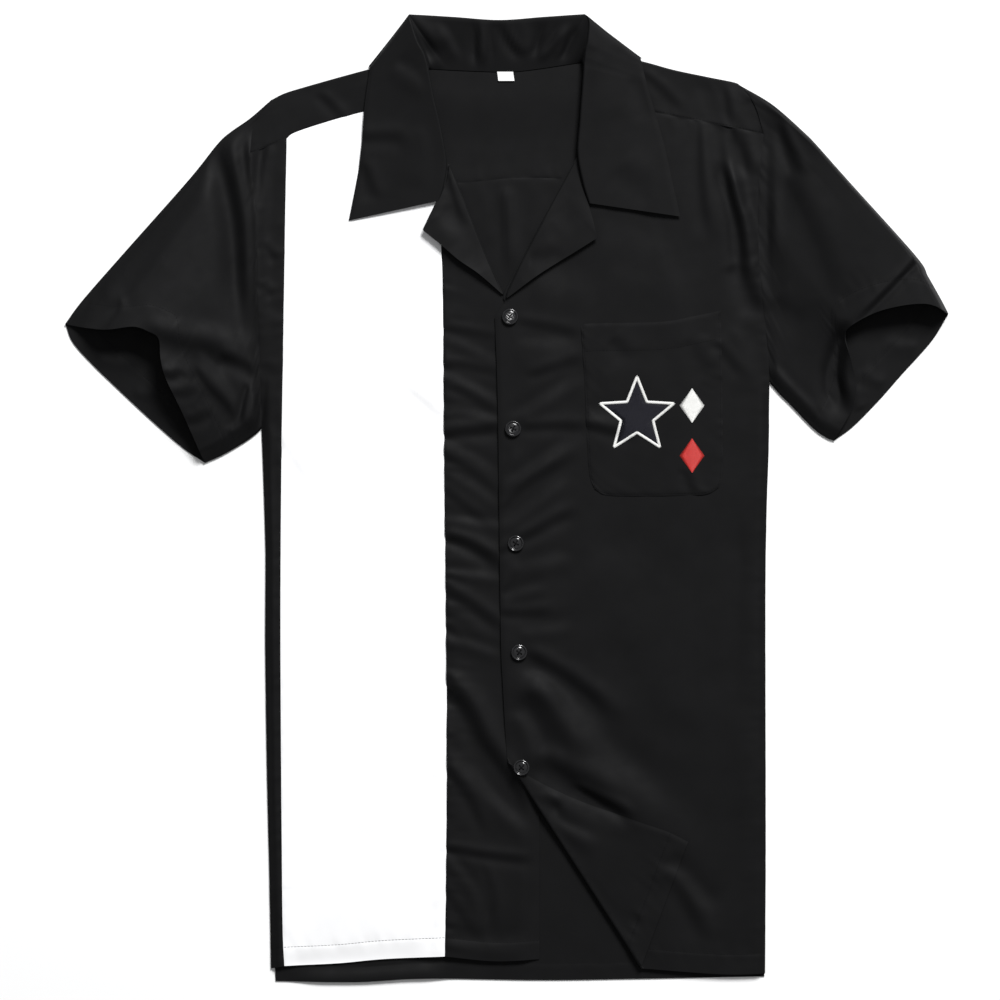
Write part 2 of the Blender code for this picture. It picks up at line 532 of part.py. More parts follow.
def make_yoke(seams, black):
    """One piece from the back yoke seam over both shoulders to the front yoke seams."""
    half = SEAM / 2
    right_columns, left_columns = SIDE_COLUMNS + CONTRAST_COLUMNS, LEFT_FRONT_COLUMNS
    columns = right_columns + 1 + NECK_COLUMNS + 1 + left_columns
    top = np.vstack([along(RIGHT_SHOULDER, right_columns), along(BACK_NECK_SEAM, NECK_COLUMNS),
                     along(LEFT_SHOULDER, left_columns)])
    shoulders = np.ones(columns + 1, bool)
    shoulders[right_columns + 1:right_columns + NECK_COLUMNS + 2] = False

    inwards = np.tile([0.0, -1.0], (columns + 1, 1))
    inwards[0] = direction(seams["right_top"][::-1])
    inwards[-1] = direction(seams["left_top"][::-1])
    inset = np.where(shoulders, FOLD_EDGE + WALL / 2, half)[:, None]
    line = top + inset * inwards
    sides = [seams["right_back_top"].copy(), seams["left_back_top"].copy()]
    sides[0][-1], sides[1][-1] = line[0], line[-1]
    back = patch(sides[0], sides[1], along(BACK_YOKE_SEAM, columns), line)
    back = at_height(drawn_in(back, bottom=SEAM), back_height)
    low = back[-1, :, 2]
    high = low + 2 * FOLD_EDGE

    right_seam = np.vstack([along(RIGHT_YOKE_SEAM_SIDE, SIDE_COLUMNS),
                            along(RIGHT_YOKE_SEAM, CONTRAST_COLUMNS)[1:]])
    left_seam = along(LEFT_YOKE_SEAM, left_columns)
    right_edge, left_edge = seams["right_top"][::-1].copy(), seams["left_top"][::-1].copy()
    right_edge[0], left_edge[0] = line[0], line[-1]
    over_right = over_shoulder(line[:right_columns + 1], right_edge, right_seam + (0, half), True)
    over_left = over_shoulder(line[-left_columns - 1:], left_edge, left_seam + (0, half), False)
    spare = np.zeros((len(over_right), NECK_COLUMNS + 1, 2))
    over = at_height(np.hstack([over_right, spare, over_left]), front_height)
    over[0, :, 2] = high
    work = grid_mesh(np.array([*back, *turn(top, low, high, inwards), *over]))

    work.faces.ensure_lookup_table()
    opening = [face for face in work.faces
               if face.index // columns >= BACK_YOKE_ROWS
               and right_columns <= face.index % columns < columns - left_columns]
    bmesh.ops.delete(work, geom=opening, context="FACES")
    cloth("yoke", work, black)


# ---------------------------------------------------------------- sleeves

def make_sleeve(name, seams, black):
    """A tube: its upper layer from shoulder to underarm, then its lower layer back to the shoulder."""
    plan = SLEEVES[name]
    side = name.removeprefix("sleeve_")
    away = np.array([-ARMHOLE_GAP if side == "right" else ARMHOLE_GAP, 0.0])
    front_seam = np.vstack([seams[side + "_top"][::-1], seams[side + "_side"][ROWS_BELOW_ARMPIT:-1][::-1]])
    back_seam = np.vstack([seams[side + "_back_top"][::-1], seams[side + "_back_armhole"][:-1][::-1]])
    # The gap is widest at the two folded ends of the armhole, and gone at the cuff
    gap = away * np.concatenate([[SHOULDER_GAP], np.linspace(1, 0, SLEEVE_STATIONS)])[:, None]
    outer = along(plan["outer"], SLEEVE_STATIONS) + gap
    under = along(plan["under"], SLEEVE_STATIONS) + gap
    # Row by row from the armhole to the cuff, each row from the outer silhouette to the underarm
    uppers = patch(outer, under, front_seam + away, along(plan["front"], len(front_seam) - 1))
    lowers = patch(outer, under, back_seam + away, along(plan["back"], len(back_seam) - 1))
    rings = []
    for station, (upper, lower) in enumerate(zip(uppers, lowers)):
        across = direction([outer[station], under[station]])
        at_outer = direction(front_seam) if station == 0 else across
        upper[0] = lower[0] = outer[station] + at_outer * (FOLD_EDGE + WALL / 2)
        upper[-1] = lower[-1] = under[station] - across * (FOLD_EDGE + WALL / 2)
        raised = sleeve_height(plan, upper, station / SLEEVE_STATIONS)
        round_under = turn(under[station], raised[-1], np.array(FLOOR), -across)
        round_outer = turn(outer[station], np.array(FLOOR), raised[0], at_outer)
        flat = np.full(len(lower), FLOOR)
        ring = np.vstack([np.column_stack([upper, raised]), round_under,
                          np.column_stack([lower, flat])[::-1], round_outer])
        rings.append(np.vstack([ring, ring[:1]]))
    work = grid_mesh(np.array(rings))
    bmesh.ops.remove_doubles(work, verts=work.verts, dist=1e-6)
    cloth(name, work, black)


def sleeve_height(plan, points, share):
    """The upper layer: it joins the front at the armhole, floats, and gapes at the cuff."""
    across = np.linspace(0, 1, len(points))
    edge = smooth(np.minimum(across, 1 - across) / SLEEVE_EDGE_SHARE)
    gape = plan["lift"] * np.exp(-((across - plan["lift_at"]) / plan["lift_spread"]) ** 2)
    gape = gape * smooth((share - plan["lift_from"]) / (1 - plan["lift_from"])) ** GAPE_POWER
    folds = ridges(FOLDS_OF_SLEEVES, points[:, 0], points[:, 1])
    at_seam = front_height(points[:, 0], points[:, 1]) - FLOOR - 2 * FOLD_EDGE
    body = smooth(share / SLEEVE_ROOT_SHARE)
    floating = (1 - body) * np.maximum(at_seam, 0) + body * np.maximum(SLEEVE_LOFT + folds, 0)
    return FLOOR + 2 * FOLD_EDGE + edge * (floating + gape)


# ---------------------------------------------------------------- collar and lapels

def collar_section(neck, neck_up, roll, roll_z, edge, edge_z, over):
    """One section of the collar: up the stand, round the roll and down the fall."""
    at_back = neck[1] > NECK_CORNER_Y
    if at_back:
        seam = along(BACK_NECK_SEAM, NECK_COLUMNS)
        neck = np.array([neck[0], np.interp(neck[0], seam[:, 0], seam[:, 1]) + SEAM + WALL / 2])
    neck_z = float(back_height(*neck) if at_back else front_height(*neck)) + neck_up
    edge_z = max(edge_z, FLOOR)
    to_neck, to_edge = direction([roll, neck]), direction([roll, edge])
    radius = min(ROLL_RADIUS, 0.4 * np.linalg.norm(neck - roll))
    turn_in = roll + to_neck * radius
    stand_z = roll_z - over * radius
    points = []
    for k in range(STAND_STEPS):
        share = k / STAND_STEPS
        points.append((*(neck + share * (turn_in - neck)), neck_z + share * (stand_z - neck_z)))
    for k in range(ARC_STEPS + 1):
        angle = math.pi * (k / ARC_STEPS - 0.5)
        side = to_neck if angle < 0 else to_edge
        spot = roll + side * radius * (1 - math.cos(angle))
        points.append((*spot, roll_z + over * radius * math.sin(angle)))
    turn_out = roll + to_edge * radius
    fall_z = roll_z + over * radius
    sag = np.interp(over, (-1, 1), (BACK_SAG, LEAF_SAG))
    for k in range(1, FALL_STEPS + 1):
        share = k / FALL_STEPS
        spot = turn_out + share * (edge - turn_out)
        z = edge_z + (fall_z - edge_z) * (1 - share) ** sag
        if over > 0:
            z = max(z, float(left_front_height(*spot) if spot[0] > 0 else front_height(*spot)) + LAY)
        points.append((*spot, z))
    return points


def make_collar(black):
    numbers = [(*neck, up, *roll, roll_z, *edge, edge_z, over)
               for neck, up, roll, roll_z, edge, edge_z, over in COLLAR]
    sections = []
    for row in curve_through(numbers, COLLAR_STEPS):
        over = float(np.clip(row[9], -1, 1))
        sections.append(collar_section(row[0:2], row[2], row[3:5], row[5], row[6:8], row[8], over))
    cloth("collar", grid_mesh(np.array(sections)), black)


def make_lapels(black):
    """Each lapel lies on its front and turns down at the roll line to the edge of that front."""
    for name, plan in LAPELS.items():
        height = front_height if name == "facing_right" else left_front_height
        corner_rows = round(plan["corner_share"] * LAPEL_ROWS)
        free = joined((plan["free"][:-1], corner_rows), (plan["free"][-2:], LAPEL_ROWS - corner_rows))
        roll = along(plan["roll"], LAPEL_ROWS)
        flat = patch(roll, free, along([roll[0], free[0]], LAPEL_COLUMNS),
                     along(plan["gorge"][::-1], LAPEL_COLUMNS))
        inwards = flat[:, 1] - flat[:, 0]
        inwards = inwards / np.linalg.norm(inwards, axis=1, keepdims=True)
        inset = FOLD_EDGE + WALL / 2
        flat[:, 0] = roll + inset * inwards
        low = height(flat[:, 0, 0], flat[:, 0, 1])
        turned = turn(roll, low + SEAM, low + LAPEL_LIFT, inwards, first=ARC_STEPS // 2)
        lying = at_height(flat, lambda x, y: height(x, y) + LAPEL_LIFT)
        lying[:, 0, 2] = low + LAPEL_LIFT
        grid = np.stack([*turned, *[lying[:, k] for k in range(lying.shape[1])]], axis=1)
        cloth(name, grid_mesh(grid), black)


# ---------------------------------------------------------------- pocket, buttons, label

def make_pocket(black):
    flat = patch(along(POCKET_LEFT, POCKET_ROWS), along(POCKET_RIGHT, POCKET_ROWS),
                 along(POCKET_BOTTOM, POCKET_COLUMNS), along(POCKET_TOP, POCKET_COLUMNS))
    cloth("pocket", grid_mesh(at_height(flat, lambda x, y: left_front_height(x, y) + LAY)), black)


def make_buttons(gloss):
    for number, (x, y, raised) in enumerate(BUTTONS, 1):
        mesh = bpy.data.meshes.new(f"button_{number}")
        points = [(r * MM, 0, z * MM) for r, z in BUTTON_PROFILE]
        mesh.from_pydata(points, [(k, k + 1) for k in range(len(points) - 1)], [])
        obj = add_object(f"button_{number}", mesh, gloss)
        lathe = obj.modifiers.new("turned", "SCREW")
        lathe.steps = lathe.render_steps = BUTTON_SIDES
        lathe.use_merge_vertices = True
        lathe.merge_threshold = 1e-5
        lathe.use_smooth_shade = False
        normal = normal_of(left_front_height, x, y)
        surface = Vector((x, y, float(left_front_height(x, y))))
        obj.location = (surface + normal * (WALL / 2 + BUTTON_GAP + raised)) * MM
        obj.rotation_mode = "QUATERNION"
        obj.rotation_quaternion = normal.to_track_quat("Z", "Y")


def make_label(white):
    width, length = LABEL_SIZE
    x, y = LABEL_CENTRE
    edge = [np.array([[x + side * width / 2, y - length / 2], [x + side * width / 2, y + length / 2]])
            for side in (-1, 1)]
    flat = patch(edge[0], edge[1], np.array([edge[0][0], edge[1][0]]), np.array([edge[0][1], edge[1][1]]))
    cloth("size_label", grid_mesh(at_height(flat, lambda x, y: back_height(x, y) + LAY)), white)


def main():
    black = material("black_cotton", BLACK, 0.75)
    white = material("white_cotton", WHITE, 0.8)
    gloss = material("black_button", GLOSSY_BLACK, 0.2)
    label = material("label_white", LABEL_WHITE, 0.6)
    seams = body_seams()
    make_fronts(seams, black, white)
    make_left_front(seams, black)
    make_back(seams, black)
    make_yoke(seams, black)
    make_sleeve("sleeve_right", seams, black)
    make_sleeve("sleeve_left", seams, black)
    make_collar(black)
    make_lapels(black)
    make_pocket(black)
    make_buttons(gloss)
    make_label(label)


clear_scene()
SHIRT = bpy.data.collections.new("bowling_shirt")
bpy.context.scene.collection.children.link(SHIRT)
main()
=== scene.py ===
"""Looks of the bowling shirt: fine cloth shells, sewing, buttons, label, materials, floor, light, camera.

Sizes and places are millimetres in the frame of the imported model, and MM turns them into metres. Only
the stage and the finest relief of the materials are given in metres. The seam lines, folds and sections
repeat those of the solids, and each shell lies in its solid's place.
"""

import math
from contextlib import contextmanager
from functools import partial

import bmesh
import bpy
import numpy as np
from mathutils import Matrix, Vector


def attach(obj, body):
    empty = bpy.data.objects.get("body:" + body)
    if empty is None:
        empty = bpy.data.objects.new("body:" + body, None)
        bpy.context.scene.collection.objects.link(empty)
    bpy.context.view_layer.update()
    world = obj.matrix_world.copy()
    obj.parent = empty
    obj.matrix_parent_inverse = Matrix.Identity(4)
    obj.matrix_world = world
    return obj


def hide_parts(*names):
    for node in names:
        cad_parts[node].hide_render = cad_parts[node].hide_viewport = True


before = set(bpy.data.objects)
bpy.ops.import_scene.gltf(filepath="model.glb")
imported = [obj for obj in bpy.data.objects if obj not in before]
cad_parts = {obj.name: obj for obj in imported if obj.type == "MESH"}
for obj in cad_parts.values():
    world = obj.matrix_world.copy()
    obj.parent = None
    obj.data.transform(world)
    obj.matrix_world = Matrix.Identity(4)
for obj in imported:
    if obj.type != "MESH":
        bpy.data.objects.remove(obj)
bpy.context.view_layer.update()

MM = 0.001

# Driving sizes
CLOTH = 0.7           # thickness of the visible shells
FLOOR = 0.4           # middle of a shell that rests on the surface
LAY = 1.6             # from the middle of one shell to the middle of the one lying on it
CLOSE_LAY = 0.8       # the same where two edges are sewn together
LAY_EASE = 5.0        # the distance from such an edge at which it has become LAY
PILLOW = 2.0          # how far the front floats above the back between its folds
SIDE_EASE, FOLD_EASE, SHOULDER_EASE = 8.0, 14.0, 110.0    # the float dies away over these distances
EASE_LEAD = 0.5       # and is gone this far outside the edge
SLACK = 0.7           # how far a trough may sink towards the back
SETTLING = 2.5        # how sharply cloth settles on what lies below it
ARMPIT, ARMPIT_EASE = 56.0, 50.0    # above it, the cloth of the front goes on into the sleeves
FOLD_EDGE = 0.8       # radius of the turn where front and back are one cloth
INSET = FOLD_EDGE + CLOTH / 2     # from the outer face of such a turn to where it starts
ARC_STEPS = 8
HEM, LEFT_HEM, BACK_HEM_WIDTH, CUFF_HEM = 15.0, 16.0, 13.0, 22.0
SEAM_ALLOWANCE = 10.0
SEAM_DEPTH, YOKE_DEPTH, ARMHOLE_DEPTH = 0.3, 0.14, 0.12    # how deep seams sink in
SEAM_RISE = 0.2       # the seam of the back on the yoke lies on its allowance
SEED = 7
LATTICE = 128         # cells of the random lattice before it repeats
LIGHT_FROM = (0.36, 0.93)     # where the light comes from, in plan
FOLD_UNEVEN = 0.3     # how far the two sides of a fold differ in width
FOLD_FADES_IN, FOLD_FADES_OUT = 0.18, 0.3    # shares of its length over which a fold starts and ends

# Sizes of a cell inside the pieces, and FINE_CELL at edges and stitch lines
CELL, DETAIL_CELL, HIDDEN_CELL, SLEEVE_CELL, UNDER_SLEEVE_CELL = 2.0, 1.7, 3.6, 1.8, 3.0
FALL_CELL, LAPEL_CELL, LABEL_CELL = 1.9, 1.6, 0.8
FINE_CELL = 0.7
# Mean lengths of parts whose number of cells doesn't follow from their borders
YOKE_BACK, YOKE_FRONT, FALL_LENGTH, LAPEL_WIDTH = 78, 34, 60, 46

# The sides of the body, from the hem up. Above the armpit they are the armhole seams.
RIGHT_SIDE = [(-188.4, -376), (-189.8, -297), (-191.8, -210), (-193, -120), (-192.8, -45), (-194.5, 15),
              (-196, 56)]
LEFT_SIDE = [(206.5, -380), (207, -300), (207, -230), (206.8, -80), (207.8, -9), (209.4, 40), (210, 93)]
RIGHT_ARMHOLE = [(-196, 56), (-197.6, 115), (-199.4, 160), (-200, 222), (-205.2, 275.6)]
LEFT_ARMHOLE = [(210, 93), (208.4, 119), (203.5, 165), (200.6, 215), (202, 260), (205.4, 291.4)]
RIGHT_ARMHOLE_TOP = [(-205.2, 275.6), (-202, 298), (-188, 318.6)]
LEFT_ARMHOLE_TOP = [(205.4, 291.4), (198.4, 314), (187, 329.8)]

# The shoulder folds, from armhole to neck
RIGHT_SHOULDER = [(-188, 318.6), (-178.2, 323.6), (-163.8, 328.2), (-131, 337.4), (-95, 347), (-67, 354.4)]
LEFT_SHOULDER = [(64, 357), (105, 350), (133, 342.6), (160, 337), (181.8, 332.6), (187, 329.8)]

# Seam lines across the shirt, from -X to +X
BACK_YOKE_SEAM = [(-201.7, 248), (-120, 250), (-37, 252.4), (4, 256), (44, 255.6), (120, 251), (201.5, 249)]
RIGHT_BACK_ARMHOLE = [(-196, 56), (-197.6, 115), (-199.6, 160), (-201, 225), BACK_YOKE_SEAM[0]]
LEFT_BACK_ARMHOLE = [(210, 93), (208.4, 119), (203.5, 165), (200.6, 215), BACK_YOKE_SEAM[-1]]
BACK_NECK_SEAM = [(-64.2, 342.8), (-23, 340.8), (10, 340.8), (60.6, 348)]
RIGHT_YOKE_SEAM_SIDE = [(-205.2, 275.6), (-176, 287.6)]
RIGHT_YOKE_SEAM = [(-176, 287.6), (-167.8, 293), (-132.6, 304.2), (-98, 313), (-66.5, 321)]
LEFT_YOKE_SEAM = [(66.5, 321), (117, 309), (154.6, 301.4), (205.4, 291.4)]

# Seam lines up and down the right front
SIDE_SEAM_OF_CONTRAST = [(-177.8, -373.8), (-179, -345), (-179.8, -273), (-180.8, -109),
                         (-180.2, 15), (-178.8, 113), (-177.4, 206), (-176, 287.6)]
CENTRE_SEAM_OF_CONTRAST = [(-49.4, -366.2), (-48.4, -297), (-47.8, -225), (-48.6, -81), (-49.6, 0),
                           (-51, 158), (-53, 215), (-54.5, 271)]
RIGHT_FRONT_NECKLINE = [(-54.5, 271), (-62.5, 286), (-66.5, 321)]
LEFT_FRONT_NECKLINE = [(57.5, 275.5), (65.5, 292), (66.5, 321)]

# Front edges: the roll line of each lapel, then the button edge
RIGHT_ROLL = [(-1.4, 161), (-20, 203), (-34, 239), (-45.6, 266.5)]
LEFT_ROLL = [(-1.4, 156.5), (-0.6, 166.6), (26, 217), (56.7, 274)]
RIGHT_EDGE = [(26, -368.6), (26, -120), (26, 128)]
LEFT_EDGE = [(-1.2, -368.4), (-1.6, -349), (2, -312), (5.2, -273), (4.4, -238), (0.4, -208),
             (-3, -150), (-4.6, -113), (-6.2, 9), (-7.2, 80), (-9.4, 145)]

# Hems, from -X to +X
BACK_HEM = [(-184.8, -386.2), (-120, -386.9), (-66, -384.2), (26, -385.4), (100, -384.4), (206, -382.4)]
SIDE_HEM = [(-188.4, -376), (-177.8, -373.8)]
CONTRAST_HEM = [(-177.8, -373.8), (-135, -371.8), (-98, -368.4), (-49.4, -366.2)]
RIGHT_FRONT_HEM = [(-49.4, -366.2), (-10, -370), (26, -368.6)]
LEFT_FRONT_HEM = [(-1.2, -368.4), (107.4, -375.8), (170.6, -380.4), (206.5, -380)]

# The lower corner of the left front is folded out along this line
CREASE_START, CREASE_END = np.array([(0.6, -210.0), (107.4, -375.8)])
CREASE_RADIUS = 1.4
CREASE_STEPS = 6
CREASE_SETTLES = 14.0    # the flap comes down to one layer over this distance
CREASE_LIFT, CREASE_REACH = -1.6, 16.0    # the cloth is pressed down along the fold
CREASE_ENDS = 40.0       # and less so over this distance at both its ends

# Where the left front lies on the right one, it is one layer higher
LAP_FULL, LAP_END, LAP_RISE, LAP_GAP = 28.5, 50.0, 1.6, 0.9
EDGE_SETTLES = 16.0    # the right front comes down to the back over this distance from its edge

# The fall of the collar passes under the yoke behind the neck and lifts it by one layer
FALL_DIP_X, FALL_DIP_Y, FALL_RISE, FALL_HALF_WIDTH = -3.0, 329.0, 18.0, 105.0
FALL_EASE, FALL_LEAD = 42.0, 48.0    # it rises over FALL_EASE, and starts FALL_LEAD before the edge

# Folds, each along a curve through its points. height raises a ridge there, or sinks a trough where
# it is negative. lean is the slope across the curve: positive where the cloth falls towards the top
# right, which faces the light, and negative where it rises towards it.
FRONT_FOLDS = [
    # points from one end to the other, half width, height, lean
    ([(150, 306), (160, 250), (164, 196)], 13, 1, 0),
    ([(155, 348), (167, 310), (174, 262), (178, 236)], 5, -0.6, -0.3),
    ([(182, 300), (186, 262), (190, 210)], 6, 0.8, 0.22),
    ([(186, -40), (188, -170), (188, -300)], 12, 0.6, 0),
    ([(-151, 296), (-156, 250), (-170, 224)], 5, 0, -0.2),
]
LEFT_FOLDS = [
    ([(153, 306), (155, 247), (162, 203)], 5, -0.8, -0.22),
    ([(176, 304), (186, 280), (194, 254)], 6, -1.4, -0.6),
    ([(172, 272), (179, 244), (185, 220), (188, 196), (190, 168)], 4.5, -1.8, -1.05),
    ([(186, 190), (194, 168), (206, 144)], 7, -0.8, -0.45),
    ([(192, 238), (198, 206), (203, 176)], 4, 0.9, 0.2),
    ([(4, 142), (34, 137), (66, 130)], 4, 0, -0.17),
    ([(6, 126), (34, 124), (62, 120)], 5, 0, 0.12),
    ([(14, 97), (40, 106), (66, 114)], 4, 0, -0.2),
    ([(2, 62), (34, 82), (66, 102)], 5, 0, 0.24),
    ([(8, 56), (38, 58), (72, 57)], 4, 0, -0.25),
    ([(-8, 2), (0, 24), (6, 44)], 4, 0, -0.2),
    ([(-4, 9), (30, 31), (62, 52)], 5, 0, 0.24),
    ([(-8, -14), (16, 12), (60, 38)], 4, 0, -0.24),
    ([(4, 122), (28, 119), (56, 116)], 10, 0, 0.08),
    ([(70, 214), (104, 206), (136, 210)], 18, 0, 0.07),
    ([(20, 178), (44, 172), (72, 172)], 12, 0, 0.08),
    ([(-8, -26), (22, -3), (54, 22)], 4.5, 0, 0.24),
    ([(4, -34), (32, -20), (60, -7)], 4, 0, -0.3),
    ([(-12, -46), (12, -34), (38, -20)], 3.5, 0, -0.26),
    ([(0, -56), (30, -50), (56, -44)], 6, 0, 0.16),
    ([(-6, -84), (4, -64), (14, -46)], 4, 0, -0.2),
    ([(-8, -80), (12, -74), (36, -67)], 4, 0, 0.2),
    ([(-10, -91), (14, -92), (42, -90)], 4, 0, -0.24),
    ([(8, -106), (32, -104), (60, -98)], 5, 0, 0.14),
    ([(10, -121), (38, -137), (64, -155), (94, -182)], 6, 0, -0.4),
    ([(-4, -138), (28, -148), (50, -174), (80, -208), (112, -238), (180, -296)], 13, 1, 0.24),
    ([(10, -154), (28, -166), (42, -190), (50, -214)], 9, -0.8, -0.3),
    ([(22, -204), (46, -220), (68, -234), (96, -254)], 9, -1, -0.46),
    ([(50, -228), (72, -240), (88, -248), (104, -260)], 4, -1, -0.7),
    ([(8, -166), (22, -190), (30, -216)], 6, 0, 0.26),
    ([(187, -10), (187, -100), (187, -185)], 8, -0.8, -0.08),
    ([(164, 128), (178, 112), (192, 94)], 4, 0, -0.2),
    ([(178, 140), (192, 116), (198, 80)], 8, 0.6, 0.08),
    ([(60, -40), (100, -60), (130, -110)], 20, 0, 0.05),
    ([(90, -100), (120, -160), (150, -200)], 16, 0, -0.05),
    ([(124, -288), (147, -312), (168, -336)], 7, 0, 0.24),
    ([(130, -296), (148, -328), (162, -358)], 6, 0, -0.22),
    ([(196, -180), (192, -260), (196, -330)], 8, 0.5, 0),
    ([(96, 300), (104, 240), (92, 180)], 16, 0.5, 0.04),
    ([(74, 182), (110, 172), (150, 176)], 14, 0.4, 0.04),
]
CENTRE_FOLDS = [
    ([(-30, 160), (-28, 0), (-28, -180), (-30, -380)], 20, 0.4, 0.08),
    ([(-58, 137), (-30, 133), (2, 126)], 3.5, 0, -0.16),
    ([(-58, 132), (-30, 122), (2, 105)], 4, 0, 0.18),
    ([(-58, 109), (-30, 105), (2, 98)], 3.5, 0, -0.18),
    ([(-58, 102), (-30, 91), (2, 73)], 4, 0, 0.2),
    ([(-58, 96), (-30, 83), (2, 61)], 3.5, 0, -0.2),
    ([(-58, 75), (-28, 69), (2, 61)], 3.5, 0, 0.18),
    ([(-58, 52), (-28, 54), (4, 58)], 4.5, 0, -0.36),
    ([(-58, 47), (-30, 35), (-2, 15)], 4, 0, 0.22),
    ([(-58, 40), (-30, 23), (-2, 1)], 2.5, 0, -0.2),
    ([(-58, 28), (-30, 12), (0, -10)], 3.5, 0, 0.2),
    ([(-58, 13), (-32, -7), (-8, -28)], 3.5, 0, -0.22),
    ([(-58, -14), (-28, -18), (4, -22)], 4, 0, 0.24),
    ([(-54, -29), (-28, -38), (0, -57)], 4.5, -0.4, -0.6),
    ([(-58, -57), (-28, -60), (4, -64)], 4, 0, 0.24),
    ([(-56, -61), (-42, -63), (-30, -65)], 2.5, 0, -0.18),
    ([(-56, -68), (-27, -86), (2, -109)], 4.5, 0, -0.36),
    ([(-56, -97), (-42, -107), (-30, -121)], 2.5, 0, -0.18),
    ([(-58, -108), (-28, -116), (2, -127)], 4, 0, 0.24),
    ([(-56, -135), (-42, -146), (-34, -158)], 2.5, 0, -0.18),
    ([(-56, -140), (-45, -153), (-31, -170), (-17, -198), (9, -234), (26, -256)], 7.5, -0.9, -0.6),
    ([(-54, -192), (-15, -235), (34, -281)], 6, 0, 0.26),
    ([(-54, -352), (-18, -356), (26, -355)], 6, 0, 0.14),
    ([(-52, -210), (-30, -239), (-14, -275)], 4, 0, -0.32),
    ([(-58, -277), (-17, -285), (34, -291)], 3.5, 0, -0.32),
    ([(-54, -277), (-24, -316), (-16, -358)], 4, 0, 0.24),
    ([(-20, -288), (-10, -320), (-14, -344)], 3.5, 0, -0.22),
    ([(-56, -306), (-36, -332), (-24, -354)], 3.5, 0, -0.18),
]
CONTRAST_FOLDS = [
    ([(-96, 210), (-84, 168), (-66, 130)], 18, 0.5, 0.03),
    ([(-88, 96), (-68, 79), (-48, 60)], 5, 0, -0.2),
    ([(-92, 124), (-80, 110), (-68, 96)], 5, 0, -0.14),
    ([(-84, 80), (-66, 64), (-50, 46)], 6, 0, 0.12),
    ([(-186, 56), (-170, 31), (-156, 8)], 5, 0, -0.16),
    ([(-170, 100), (-156, 60), (-138, 20)], 16, 0.3, 0.02),
    ([(-110, 40), (-90, -30), (-60, -70)], 18, 0.3, 0.02),
    ([(-172, -40), (-150, -90), (-130, -130)], 18, 0.3, 0.02),
    ([(-60, -180), (-96, -220), (-140, -260)], 20, 0.3, 0.03),
    ([(-168, -220), (-150, -260), (-142, -310)], 16, 0.3, 0),
    ([(-56, -320), (-59, -346), (-61, -372)], 3.5, -0.3, -0.06),
    ([(-184, -374), (-120, -370), (-44, -366)], 9, -2.2, 0),
]
SIDE_FOLDS = [
    ([(-208, 300), (-204, 262), (-200, 214), (-199, 160), (-197, 110)], 6, 4, 0),
    ([(-191, 286), (-196, 268), (-198, 246), (-200, 218)], 3.5, -0.8, -0.6),
    ([(-196, 206), (-189, 197), (-180, 190)], 3, 0, -0.3),
    ([(-198, 174), (-192, 167), (-184, 162)], 3, 0, -0.3),
    ([(-196, 150), (-184, 146), (-178, 142)], 4, 0, 0.12),
    ([(-196, 110), (-186, 102), (-178, 100)], 4, 0, -0.12),
    ([(-192, 60), (-184, 50), (-180, 30)], 4, 0, 0.1),
    ([(-190, 60), (-186, -60), (-184, -220), (-182, -380)], 6, 0.3, 0.22),
]
YOKE_FOLDS = [
    ([(-152, 326), (-138, 312), (-126, 298)], 3.5, 0, -0.26),
    ([(-110, 338), (-104, 326), (-96, 314)], 8, 0.4, 0.05),
    ([(104, 346), (125, 326), (146, 304)], 4, 0, -0.22),
    ([(172, 338), (175, 318), (179, 294)], 5, -1, -0.5),
    ([(199, 322), (202, 304), (206, 284)], 5, -1, -0.5),
    ([(112, 344), (118, 330), (116, 312)], 9, 0.4, 0),
]
BACK_FOLDS = [
    ([(-4, 251), (-1, 222), (2, 172)], 4.5, 1.2, -0.36),
    ([(-178, -381), (-120, -380), (-74, -377), (-40, -377)], 7, 1.6, 0.34),
    ([(-20, 252), (-14, 220), (-8, 200)], 6, 0.4, 0),
    ([(24, 254), (22, 226), (16, 200)], 6, 0.5, 0),
    ([(-150, 200), (-120, 100), (-130, 0)], 14, 0.5, 0),
    ([(120, 210), (140, 120), (120, 20)], 14, 0.5, 0),
    ([(-60, -60), (0, -120), (80, -140)], 16, 0.4, 0),
    ([(-140, -200), (-100, -280), (-120, -360)], 14, 0.4, 0),
    ([(100, -220), (120, -300), (110, -370)], 14, 0.4, 0),
]
FLAP_FOLDS = [
    ([(18, -240), (32, -244), (48, -245)], 4, -0.3, -0.4),
    ([(28, -236), (40, -243), (44, -254)], 3, 0, -0.35),
    ([(24, -253), (50, -264), (78, -277)], 5, 0.3, 0.28),
    ([(60, -300), (76, -310), (88, -330)], 8, 0.4, 0),
    ([(132, -286), (124, -316), (112, -352)], 8, 0, -0.1),
]

